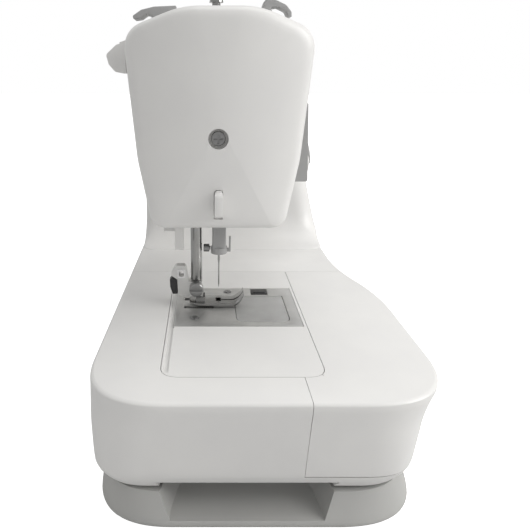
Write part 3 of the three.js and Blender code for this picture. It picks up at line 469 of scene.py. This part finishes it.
# The casings

handle = {"armsAt": (45, 190), "armWidth": 10, "pivot": (34, 268), "pin": 2.4, "pinHole": 2.8}
seam = {"faceX": -14, "rearY": 22, "halfGap": 0.15}
driveAt = (0, 232)
openings = {
    "frameRoom": ((50, -52, 40), (90, 29, 79)),
    "bars": ((-20, -16, 140), (48, 40.4, 170)),
    "screen": ((178, -120, 212), (246, -55, 250)),
    "socket": ((250, -20, 40), (280, 14, 62)),
    "powerSwitch": ((250, -48, 93.5), (280, -36, 114.5)),
}
shell = join(spare(armOuter), pillarOuter, common(spare(bedOuter), zone(bed["joinX"] + bed["gap"], farOut)))
bedHollow = common(spare(bedCavity), zone(bed["joinX"] + bed["skin"], farOut, 0, 200))
shell = cut(shell, spare(armCavity), pillarCavity, bedHollow, block(*openings["frameRoom"]))
for x in handle["armsAt"]:  # a walled pocket for each arm of the handle, with its pin hole
    wall = common(block((x - 4, 23, 252), (x + 14, 70, 290)), spare(armOuter))
    shell = cut(join(shell, wall), block((x - 0.6, 26, 255), (x + 10.6, 80, 300)),
                rod(handle["pinHole"], 16, "x", (x - 3, *handle["pivot"])))

takeUpSlot = slab(rectangle((11, -90), (19, -30)), "z", 196, 264)
faceHalf = common(spare(shell), zone(-300, seam["faceX"] - seam["halfGap"], -1, farOut, 300))
casing = cut(common(shell, zone(seam["faceX"] + seam["halfGap"], farOut, -1, farOut, 300)),
             slab(rectangle((57, 239), (188, 261), 5, 3), "y", 61.3, 80),  # finger room behind the handle
             block(*openings["bars"]), spare(takeUpSlot), block(*openings["screen"]),
             rod(7.4, 40, "y", (212, -112, 166.5)), rod(9, 40, "x", (240, *driveAt)),
             block(*openings["socket"]), block(*openings["powerSwitch"]),
             slab(rectangle((219.5, -20), (234.5, -12), 4, 3), "z", 262, 300))
panel = {"left": -10, "right": 58, "bottom": 176.5, "top": 226,
         "frontLow": -57.8, "frontHigh": -55.4, "back": -36}


def panelWedge(gap):
    low, high = panel["bottom"] - gap, panel["top"] + gap
    return slab([(panel["frontLow"], low, 1.5, 2), (panel["frontHigh"], high), (panel["back"], high),
                 (panel["back"], low)], "x", panel["left"] - gap, panel["right"] + gap)


front = common(spare(casing), block((-300, -300, -1), (farOut, seam["rearY"] - seam["halfGap"], farOut)))
done(cut(front, panelWedge(0.3)), "front_casing")
done(common(casing, block((-300, seam["rearY"] + seam["halfGap"], -1), (farOut, 300, farOut))), "rear_casing")
print("casings ready")

# Face cover, its screw and the thread cutter

face = {"screw": (2, 207.4), "well": 6, "hole": 2.4, "crossHalf": 0.65, "crossReach": 2.8}
screwWell = turned([(0, -20), (face["well"], -20), (face["well"], 5.5), (face["hole"], 5.5),
                    (face["hole"], 30), (0, 30)], "x", (-42, *face["screw"]))
boss = common(rod(8, 18, "x", (-41, *face["screw"])), spare(armOuter))
cutterSeat = slab([(-1.2, 158), (4.4, 158), (4.4, 177, 2.4, 4), (-1.2, 177, 2.4, 4)], "x", -50, -36.8)
done(cut(join(faceHalf, boss), screwWell, cutterSeat), "face_cover")
screwHead = turned([(0, 0), (3.9, 0), (4.3, 0.5), (4.3, 2.4), (2, 2.8), (2, 20), (0, 20)],
                   "x", (-39.4, *face["screw"]))
screwY, screwZ = face["screw"]
for across, up in ((face["crossHalf"], face["crossReach"]), (face["crossReach"], face["crossHalf"])):
    groove = block((-40, screwY - across, screwZ - up), (-37.6, screwY + across, screwZ + up))
    screwHead = cut(screwHead, groove)
done(screwHead, "face_cover_screw", 0.12)
low, high = -0.9, 4.1  # the thread cutter's width
cutter = common(slab([(-49, 161.5, 2, 3), (-49, 176, 3.5, 3), (-42.9, 176), (-42.9, 161.5)], "y", low, high),
                slab([(low, 160), (high, 160), (high, 176.6, 2.2, 4), (low, 176.6, 2.2, 4)], "x", -50, -37.5))
backing = slab([(low, 160.8, 0.8, 2), (high, 160.8, 0.8, 2), (high, 176.6, 2.2, 4), (low, 176.6, 2.2, 4)],
               "x", -43.4, -37.5)
done(join(cutter, backing), "thread_cutter", 0.5)

# Table, its lid, the free arm and the base

freeArm = {"left": -103, "front": -58, "rear": 35, "bottom": 36, "top": 85, "corner": 11, "past": 160}


def armPlan(grow):
    left, front, rear = freeArm["left"] - grow, freeArm["front"] - grow, freeArm["rear"] + grow
    corner, past = freeArm["corner"] + grow, freeArm["past"]
    return [(left, front, corner, 4), (past, front), (past, rear), (left, rear, corner, 4)]


graspRings = [[(x, -66.3 + n, 27), (x, 38.7 - n, 27), (x, 29.7 - n, f), (x, -57.7 + n, f)]
              for x, f, n in [(-150, 5.8, 0), (-118, 5.8, 0), (-104, 8, 3), (-94, 14, 9), (-88, 24, 14)]]
slot = slab(armPlan(0.4), "z", -1, 200)
slotGrown = slab(armPlan(2.8), "z", -1, 200)


def lidArea(shift):  # where the lid lies: the table's front, with a step at the free arm
    return join(block((-200, -200, -1), (-102, -45.5 - shift, 200)),
                block((-103, -200, -1), (200, -56 - shift, 200)))


tableOuter = common(spare(bedOuter), zone(-200, bed["joinX"]))
tableCavity = common(spare(bedCavity), zone(-200, bed["joinX"] - bed["skin"], -1, 200))
lidCavity = cut(spare(tableCavity), zone(-200, farOut, -1, bed["lidBottom"]))
lidOuter = common(spare(tableOuter), lidArea(0.15), zone(-200, farOut, bed["lidBottom"], 200))
done(cut(lidOuter, lidCavity, spare(slot)), "accessory_lid")
trayFloor = common(planLoft(bedLevels, bed["skin"] / 2), lidArea(0), zone(-200, 66, bed["tableBottom"], 24.6))
tableShell = cut(tableOuter, cut(tableCavity, spare(slotGrown)), spare(slot))
lidRoom = common(lidArea(-0.15), zone(-200, farOut, 31.8, 200))
trayWalls = cut(common(slotGrown, block((-113, -63, bed["tableBottom"]), (63.5, -42.5, 81.7))), spare(slot))
trayWalls = join(trayWalls, block((-126, -45.5, bed["tableBottom"]), (-103, -43.1, 84.5)))
trayWalls = cut(common(trayWalls, planLoft(bedLevels, 0.2)), spare(slot))
endRecess = common(loft(graspRings), zone(-200, -60, 0, 26.4))
done(cut(join(cut(tableShell, lidRoom), trayFloor, trayWalls), endRecess, slot), "table_body")
print("table ready")

armShell = common(slab(armPlan(0), "z", freeArm["bottom"], freeArm["top"]), zone(-200, bed["joinX"]))
armHollow = slab([(-100, -55, 8, 3), (freeArm["past"], -55), (freeArm["past"], 32), (-100, 32, 8, 3)],
                 "z", 39, 82)
plateHole = block((-35, -51.9, 60), (24.6, 26.9, 100))
plateLedge = block((-39.3, -56.2, 82.9), (28.9, 31.2, 86))
edgeStep = block((-98, 30.6, 83.8), (68, 34, 86))
done(cut(armShell, armHollow, plateHole, plateLedge, edgeStep), "free_arm_cover")

feet = [(-88, -80), (-88, 46), (236, -74), (236, 42)]
undersideLevels = [{**baseLevels[2], "z": 6}, {**baseLevels[3], "z": 40}]
underside = common(planLoft(undersideLevels, 4, 1), zone(75, farOut, 5.5, 60))
base = cut(planLoft(baseLevels), loft(graspRings), underside, block((-76, -92, -5), (66, 60, 16)))
for x, y in feet:
    base = cut(base, join(rod(3.6, 6, "z", (x, y, 0)), rod(8.5, 3.8, "z", (x, y, 0))))
rim = [{**bedLevels[0], "z": 15}, {**bedLevels[0], "z": 22}, {**bedLevels[1], "z": 32}]
rimInside = planLoft([{**rim[0], "z": 5}, *rim, {**rim[2], "z": 40}], 6, 1)
done(join(base, common(cut(planLoft(rim, 3.6, 1), rimInside), zone(74, farOut, 0, 60))), "base_tray")
footProfile = [(0, 0), (7.2, 0), (7.8, 0.3), (8, 0.8), (8, 3.4), (3.2, 3.4), (3.2, 5.4), (0, 5.4)]
for i, (x, y) in enumerate(feet):
    done(turned(footProfile, "z", (x, y, 0)), f"rubber_foot_{i + 1}")
print("base ready")

# Needle plate, bobbin cover and latch

plate = {"low": (-39, -55.9), "high": (28.6, 30.9), "bottom": 83.3, "top": 85.1,
         "feedRowsAt": (-7.2, 7.2), "screwsAt": ((-25.4, 17.1), (21.7, -7.4))}


def coverPlan(gap):
    left, right, front, rear = -32.3 - gap, 13 + gap, -48 - gap, -12 + gap
    return [(left, front, 7, 3), (right, front, 1.5, 2), (right, rear, 1.5, 2), (left, rear, 7, 3)]


feedSlots = [slab(rectangle((x - 2.4, 3.6), (x + 2.4, 25), 1, 2), "z", 70, 100) for x in plate["feedRowsAt"]]
screwHoles = [rod(3.2, 10, "z", (x, y, 80)) for x, y in plate["screwsAt"]]
done(cut(slab(rectangle(plate["low"], plate["high"], 1.5, 2), "z", plate["bottom"], plate["top"]),
         slab(coverPlan(0.4), "z", 70, 100), slab(rectangle((-4, -1.2), (4, 1.2), 1.2, 3), "z", 70, 100),
         *feedSlots, block((15.5, -38, 70), (27.4, -25, 100)), *screwHoles), "needle_plate", 0.12)
done(slab(coverPlan(0), "z", 83.3, 85), "bobbin_cover", 0.25)
done(join(block((15.9, -37.6, 83.4), (24.8, -25.4, 85.4)), block((18.4, -36, 85.3), (20, -27, 86.1))),
     "cover_latch", 0.25)
plateScrew = [(0, -8), (1.6, -8), (1.6, -1.2), (2.9, -1.2), (2.9, 0.2), (2.5, 0.5), (2.0, 0.7), (0, 0.7)]
for i, (x, y) in enumerate(plate["screwsAt"]):
    screw = turned(plateScrew, "z", (x, y, plate["top"]))
    done(cut(screw, block((x - 4, y - 0.35, 85.4), (x + 4, y + 0.35, 87))), f"plate_screw_{i + 1}")

# Needle bar, presser bar and foot

bars = {"needleBar": 3.2, "presserBar": 4, "presserAt": (0, 16)}
pin = {"at": (13.2, 90.4), "radius": 0.9, "hole": 1.3}
done(rod(bars["needleBar"], 92, "z", (0, 0, 148.4)), "needle_bar", 0.3)
threadHook = (block((-1, -8.2, 125), (1, -3, 127.4)), block((-1, -8.2, 125), (1, -7, 136)))
clamp = join(slab(rectangle((-4.6, -4.8), (4.6, 4.8), 1.5, 2), "z", 128, 148),
             rod(5.7, 4.6, "z", (0, 0, 124)), *threadHook)
done(cut(clamp, rod(1.1, 20, "z", (0, 0, 120))), "needle_clamp", 0.25)
clampScrew = [(0, 0), (1.4, 0), (1.4, 0.8), (2.6, 0.8), (2.8, 1.1), (2.8, 4.6), (2.5, 4.9), (0, 4.9)]
done(turned(clampScrew, "y", (0, 6, 127.6)), "needle_clamp_screw")
needleShape = [(0, 97.4), (0.2, 98.6), (0.45, 100.6), (0.5, 116), (0.85, 119), (0.85, 139), (0, 139)]
done(turned(needleShape, "z", (0, 0, 0), 24), "needle")
done(rod(bars["presserBar"], 152, "z", (*bars["presserAt"], 104)), "presser_bar", 0.3)
ankle = slab([(13, 92.4), (28.6, 92.4, 1.5, 2), (29.4, 104.4, 1, 2), (34.6, 108, 2, 2), (31, 115, 3, 2),
              (23.6, 115, 2, 2), (21.6, 103.4), (13, 103.4)], "x", -3, 3)
holder = join(block((-4.5, 12.3, 92.4), (4.5, 21, 103.6)), block((-3.4, 11.15, 90), (3.4, 17, 93)), ankle)
done(cut(holder, block((-10, 24.6, 106.6), (10, 28.8, 111.6)), rod(pin["hole"], 10, "x", (-5, *pin["at"])),
         block((-5, 11.9, 88), (5, 14.5, 90.4))), "foot_holder")
# Painted shade: black plastic rings stand in for the shadow inside the mouths of the holder's eye
eyeShadeRim = {"face": 3, "thick": 0.7,
          "outer": ((23.9, 105.9), (29.5, 112.3)), "inner": ((24.9, 106.9), (28.5, 111.3))}
for name, side in (("eyeShadeLeft", -1), ("eyeShadeRight", 1)):  # black rings as painted shade, framing each mouth of the holder's eye
    ends = sorted((eyeShadeRim["face"] * side, (eyeShadeRim["face"] + eyeShadeRim["thick"]) * side))
    shadeRing = cut(slab(rectangle(*eyeShadeRim["outer"], 1.6, 3), "x", *ends),
                    slab(rectangle(*eyeShadeRim["inner"], 1, 3), "x", -8, 8))
    only(shadeRing)
    shadeRing.name = shadeRing.data.name = name
    bpy.ops.object.shade_smooth_by_angle(angle=math.radians(32))
    shadeRing.data.materials.append(materials["black_plastic"])
    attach(shadeRing, "presser_unit")
holderScrew = turned([(0, 0), (4.6, 0), (5, 0.4), (5, 5), (4.6, 5.4), (0, 5.4)], "x", (-10.2, 16, 99))
done(cut(holderScrew, block((-10.6, 11.5, 98.4), (-9.2, 20.5, 99.6))), "foot_holder_screw", 0.12)  # its slot
done(slab([(29.6, 93.4), (33.2, 93, 1, 2), (35, 98.6, 1, 2), (35.2, 104.4, 1, 2), (33.4, 106), (30, 103.8)],
          "x", -2.6, 2.6), "foot_release_lever", 0.4)
soleLevels = [{"y": y, "low": low, "high": high, "half": half} for y, low, high, half in [
    (21, 2.4, 3.4, 6.5), (17.4, 1, 2.8, 7.2), (13.2, 0.1, 2.6, 7.8), (0, 0.1, 2.6, 8), (-9, 0.1, 2.4, 8),
    (-13, 1.4, 3.6, 8), (-16.4, 5.2, 6.8, 7.6), (-18, 8.8, 9.8, 7)]]


def soleRing(s):  # its heights are above the plate
    corners = [(-s["half"], s["low"], 0.3, 2), (s["half"], s["low"], 0.3, 2),
               (s["half"], s["high"], 0.4, 2), (-s["half"], s["high"], 0.4, 2)]
    return [(p[0], s["y"], 85.3 + p[1]) for p in rounded(corners, 1)]


sole = loft([soleRing(s) for s in between(soleLevels, 5)])
foot = join(sole, block((-5.4, 10, 87.1), (-4, 16.4, 91.6)), block((4, 10, 87.1), (5.4, 16.4, 91.6)),
            rod(pin["radius"], 10.8, "x", (-5.4, *pin["at"])))
done(cut(foot, slab(rectangle((-3.6, -1.8), (3.6, 2), 1.2, 2), "z", 80, 100),
         block((-0.9, -30, 80), (0.9, -2, 100))), "presser_foot")
print("needle and foot ready")

# Levers, panel, dials, handle and the top of the arm

lifterArm = slab([(8, 160, 3, 2), (11, 136.4, 2, 2), (34, 132.8, 3, 2), (36, 138.4, 3, 2), (18, 143.3, 4, 2),
                  (16, 160, 3, 2)], "y", 31, 39.6)
done(join(rod(4, 12, "y", (12, 25, 160)), lifterArm), "presser_lifter", 0.8)
leverTip = slab([(-12.4, 129.8, 1.2, 2), (-7.6, 129.8, 1.2, 2), (-7.6, 147), (-12.4, 147)], "y", 24.4, 30.4)
done(join(block((-11.6, 24.4, 146), (-8.4, 34.6, 196)), leverTip), "buttonhole_lever", 0.4)
buttons = {"z": 186, "front": -60.2, "start": {"x": 6, "radius": 6, "hole": 6.4},
           "back": {"x": 26, "radius": 4.5, "hole": 4.9}}
buttonHoles = [rod(buttons[name]["hole"], 40, "y", (buttons[name]["x"], -70, buttons["z"]))
               for name in ("start", "back")]
done(cut(panelWedge(0), armCavity, *buttonHoles, block((34, -70, 203), (52, -30, 208)),
         common(takeUpSlot, block((-300, -90, 190), (300, -30, 300)))), "control_panel")
for node, name in (("start_stop_button", "start"), ("reverse_button", "back")):
    radius = buttons[name]["radius"]
    profile = [(0, 0), (radius - 1.2, 0), (radius - 0.4, 0.3), (radius, 1), (radius, 8), (0, 8)]
    done(turned(profile, "y", (buttons[name]["x"], buttons["front"], buttons["z"])), node)
stem, knob = block((40, -60, 203.5), (44, -47, 207.5)), block((38, -62.6, 202), (46, -57.8, 209))
done(join(stem, knob), "speed_slider", 0.5)
wheel = {"x": 268, "grooves": 24, "groove": 1.6, "groovesAt": 35.9, "hole": 5.4}
wheelProfile = [(0, 1.3), (14, 1.3), (14, 4), (30, 4), (34, 6), (35, 9), (35, 17), (34.2, 19.2), (32, 21),
                (26, 22.4), (12, 21), (0, 21)]
wheelAt = (wheel["x"], *driveAt)
handwheel = cut(turned(wheelProfile, "x", wheelAt, 96), rod(wheel["hole"], 12, "x", wheelAt))
for i in range(wheel["grooves"]):
    angle = 2 * math.pi * i / wheel["grooves"]
    across, up = wheel["groovesAt"] * math.cos(angle), wheel["groovesAt"] * math.sin(angle)
    grooveAt = (276.5, driveAt[0] + across, driveAt[1] + up)
    handwheel = cut(handwheel, rod(wheel["groove"], 9, "x", grooveAt, 12))
done(handwheel, "handwheel")
grip = slab([(66.4, 264.6, 1, 1), (72.4, 263, 4, 2), (80, 256.6, 3, 2), (78.4, 250, 4, 2), (74, 245, 3, 2),
             (66.4, 243.6, 1, 1)], "x", 45, 200)
gripHollow = [(60, 240), (72.6, 240), (73.6, 252, 3, 2), (71.6, 259.4, 2, 2), (60, 259.4)]
grip = cut(grip, slab(gripHollow, "x", 55, 190))
armOutline = [(28.6, 263, 5, 3), (28.6, 273.4, 5, 3), (42, 273.4, 4, 2), (70, 264.6), (70, 250),
              (62, 256, 3, 2), (50, 259.6, 4, 2), (40, 262, 3, 2)]
for x in handle["armsAt"]:
    pinLong = rod(handle["pin"], handle["armWidth"] + 5, "x", (x - 2.5, *handle["pivot"]))
    grip = join(grip, slab(armOutline, "x", x, x + handle["armWidth"]), pinLong)
done(grip, "carrying_handle")
tensionProfile = [(0, 0), (14.4, 0), (15, 0.6), (15, 5), (14.4, 5.8), (13.6, 6.4), (0, 6.4)]
done(turned(tensionProfile, "z", (80, -18, 279.9), 72), "tension_dial")
spool = turned([(0, 0), (2, 0), (3, 2), (3, 61.4), (2.4, 62), (0, 62)], "x", (104, 12, 286.6))
spoolStand = slab([(163, 279.8), (174, 279.8), (171, 290.4, 2, 2), (165, 290.4, 2, 2)], "y", 7, 17)
done(join(spool, spoolStand), "spool_pin")
winderProfile = [(0, 0), (3, 0), (3, 3), (9, 3), (9, 4.4), (2.9, 4.4), (2.9, 12), (2, 13), (0, 13)]
done(turned(winderProfile, "z", (224, -16, 276.9)), "winder_spindle")
guideAt = (12, 2.7)
done(join(rod(4.6, 3.2, "z", (*guideAt, 280)), rod(2.6, 3.2, "z", (*guideAt, 283)),
          rod(4.4, 4.4, "z", (*guideAt, 286), 40, 3.6)), "winding_thread_guide")
done(slab([(27, 279.7), (42, 276.9, 3, 2), (46.5, 279.4, 2, 2), (50.5, 276.8, 2, 2), (55.2, 276.2, 0.8, 2),
           (55.4, 278.2, 0.8, 2), (50, 281.6, 4, 3), (42, 283.4, 4, 3), (28, 284, 0.8, 2)], "x", 8, 24),
     "rear_thread_guide", 0.5)
done(slab([(-25, 279.8), (-28, 287.6, 1.5, 2), (-34, 287.4, 3, 2), (-41, 284.4, 4, 3), (-44.6, 280.4, 2, 2),
           (-44.8, 277.4, 0.7, 2), (-43, 277.2, 0.7, 2), (-41.4, 281, 2, 2), (-36, 283.4, 2, 2),
           (-31, 282.8, 1, 2), (-33, 279.9, 1, 2), (-38, 278.2, 0.6, 2), (-37, 276.9)], "x", 8, 22),
     "front_thread_guide", 0.35)
takeUpShape = slab([(-15.4, 228, 4, 2), (-12, 246, 4, 2), (-42, 262, 2, 2), (-51.5, 260.4, 2, 2),
                    (-51.5, 256, 2, 2), (-42, 256, 3, 2), (-19, 243, 3, 2), (-24.6, 228, 4, 2)], "x", 14, 16)
takeUp = join(takeUpShape, rod(5, 2, "x", (14, -20, 232)), rod(2.4, 5.6, "x", (14, -20, 232)))
done(cut(takeUp, rod(1.5, 10, "x", (10, -48, 258.4))), "take_up_lever", 0.25)


def leaned(piece, z, out):  # tips a piece made at the origin's height, and moves it on to the sloping front
    atFront = -103.8 + max(0, z - pillar["leanFrom"]) * pillar["lean"]
    shift = Matrix.Translation(place((0, 0, 0)))
    tip = Matrix.Rotation(-math.atan(pillar["lean"]), 4, "X")
    moved = Matrix.Translation(Vector((0, atFront + out, z)) * mm)
    piece.data.transform(shift @ moved @ tip @ shift.inverted())
    return piece


dialSize = {"x": 212, "z": 168, "flutes": 30, "flute": 0.55, "flutesAt": 17.1, "sunk": -1.2}
dialProfile = [(0, -10), (14.9, -10), (15.5, -9.8), (17, -8.6), (17, -1.2), (5.4, -1.2), (5.4, 8), (0, 8)]
dial = turned(dialProfile, "y", (dialSize["x"], 0, 0), 72)
for i in range(dialSize["flutes"]):
    angle = 2 * math.pi * i / dialSize["flutes"]
    across, up = dialSize["flutesAt"] * math.cos(angle), dialSize["flutesAt"] * math.sin(angle)
    fluteAt = (dialSize["x"] + across, -9, up)
    dial = cut(dial, rod(dialSize["flute"], 12, "y", fluteAt, 8))
dial = cut(dial, block((211.4, -11, 8), (212.6, -9.6, 14)))
done(leaned(dial, dialSize["z"], dialSize["sunk"]), "stitch_dial")
done(leaned(block((178.4, -2.6, -18.2), (245.6, 0, 18.2)), 231, 2.4), "display_window", 0.5)
rocker = [(257, 97), (257, 111), (266, 112.6), (270.6, 110, 1.5, 2), (267, 103, 12, 3), (268, 97, 1.5, 2),
          (265, 95.4)]
done(slab(rocker, "y", -47.5, -36.5), "power_switch", 0.4)
socket = block((250.5, -19.5, 40.5), (268.4, 13.5, 61.5))
done(cut(socket, block((258, -15, 45), (280, 9, 57))), "power_socket", 0.5)
for leftover in (armOuter, bedOuter, bedCavity):
    bpy.data.objects.remove(leftover)
print("levers, panel and handle ready")

# Camera, lights and floor

cameraPlace = {"lens": 36.68, "at": (-364.7, 9.8, 242.9), "tilt": 19.385, "shift": 0.113}
bpy.ops.object.camera_add()
camera = bpy.context.object
camera.name = "viewCamera"
camera.data.lens, camera.data.sensor_width = cameraPlace["lens"], 36
camera.data.shift_x = cameraPlace["shift"]
camera.location = place(cameraPlace["at"])
camera.rotation_euler = (math.radians(90 - cameraPlace["tilt"]), 0, math.radians(-90))
camera.data.clip_start, camera.data.clip_end = 0.01, 30
bpy.context.scene.camera = camera

studio = {"sky": (1.0, 0.995, 0.985), "skyStrength": 0.54, "floor": (0.68, 0.68, 0.68), "floorGlow": 1.0}
lamps = [  # place, what it faces, size, watts, colour
    ((-0.45, -1.5, 1.05), (0, 0, 0.16), 1.0, 19, (1.0, 0.99, 0.975)),
    ((0.25, -0.3, 1.9), (0, 0, 0.1), 1.4, 8.5, (1.0, 1.0, 1.0)),
    ((0.9, 1.1, 1.2), (0, 0, 0.15), 1.2, 2, (1.0, 1.0, 1.0)),
]
for spotAt, target, size, watts, colour in lamps:
    bpy.ops.object.light_add(type="AREA", location=spotAt)
    lamp = bpy.context.object
    lamp.data.size, lamp.data.energy, lamp.data.color = size, watts, colour
    lamp.rotation_euler = (Vector(target) - Vector(spotAt)).to_track_quat("-Z", "Y").to_euler()
world = bpy.context.scene.world or bpy.data.worlds.new("studioSky")
bpy.context.scene.world = world
world.use_nodes = True
sky = world.node_tree.nodes["Background"]
sky.inputs["Color"].default_value = (*studio["sky"], 1)
sky.inputs["Strength"].default_value = studio["skyStrength"]
# The camera sees a white backdrop, and the pieces are lit by a softer sky
backdrop = world.node_tree.nodes.new("ShaderNodeBackground")
backdrop.inputs["Color"].default_value = (1, 1, 1, 1)
seen = world.node_tree.nodes.new("ShaderNodeLightPath")
blendSky = world.node_tree.nodes.new("ShaderNodeMixShader")
world.node_tree.links.new(seen.outputs["Is Camera Ray"], blendSky.inputs[0])
world.node_tree.links.new(sky.outputs[0], blendSky.inputs[1])
world.node_tree.links.new(backdrop.outputs[0], blendSky.inputs[2])
world.node_tree.links.new(blendSky.outputs[0], world.node_tree.nodes["World Output"].inputs["Surface"])
bpy.context.scene.view_settings.view_transform = "Standard"

bpy.ops.object.select_all(action="DESELECT")
bpy.ops.mesh.primitive_plane_add(size=14, location=(0, 0, 0))
floor = bpy.context.object
floor.name = "studioFloor"
floorFinish = bpy.data.materials.new("studioFloor")
floorFinish.use_nodes = True
floorTree = floorFinish.node_tree
floorShader = floorTree.nodes["Principled BSDF"]
floorShader.inputs["Base Color"].default_value = (*studio["floor"], 1)
floorShader.inputs["Roughness"].default_value = 0.9
floorShader.inputs["Emission Color"].default_value = (1, 1, 1, 1)
floorSeen = floorTree.nodes.new("ShaderNodeLightPath")  # the glow whitens the floor and lights nothing
floorGlow = floorTree.nodes.new("ShaderNodeMath")
floorGlow.operation = "MULTIPLY"
floorGlow.inputs[1].default_value = studio["floorGlow"]
floorTree.links.new(floorSeen.outputs["Is Camera Ray"], floorGlow.inputs[0])
floorTree.links.new(floorGlow.outputs[0], floorShader.inputs["Emission Strength"])
floor.data.materials.append(floorFinish)
floor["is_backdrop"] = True
print("studio ready")

low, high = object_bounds()
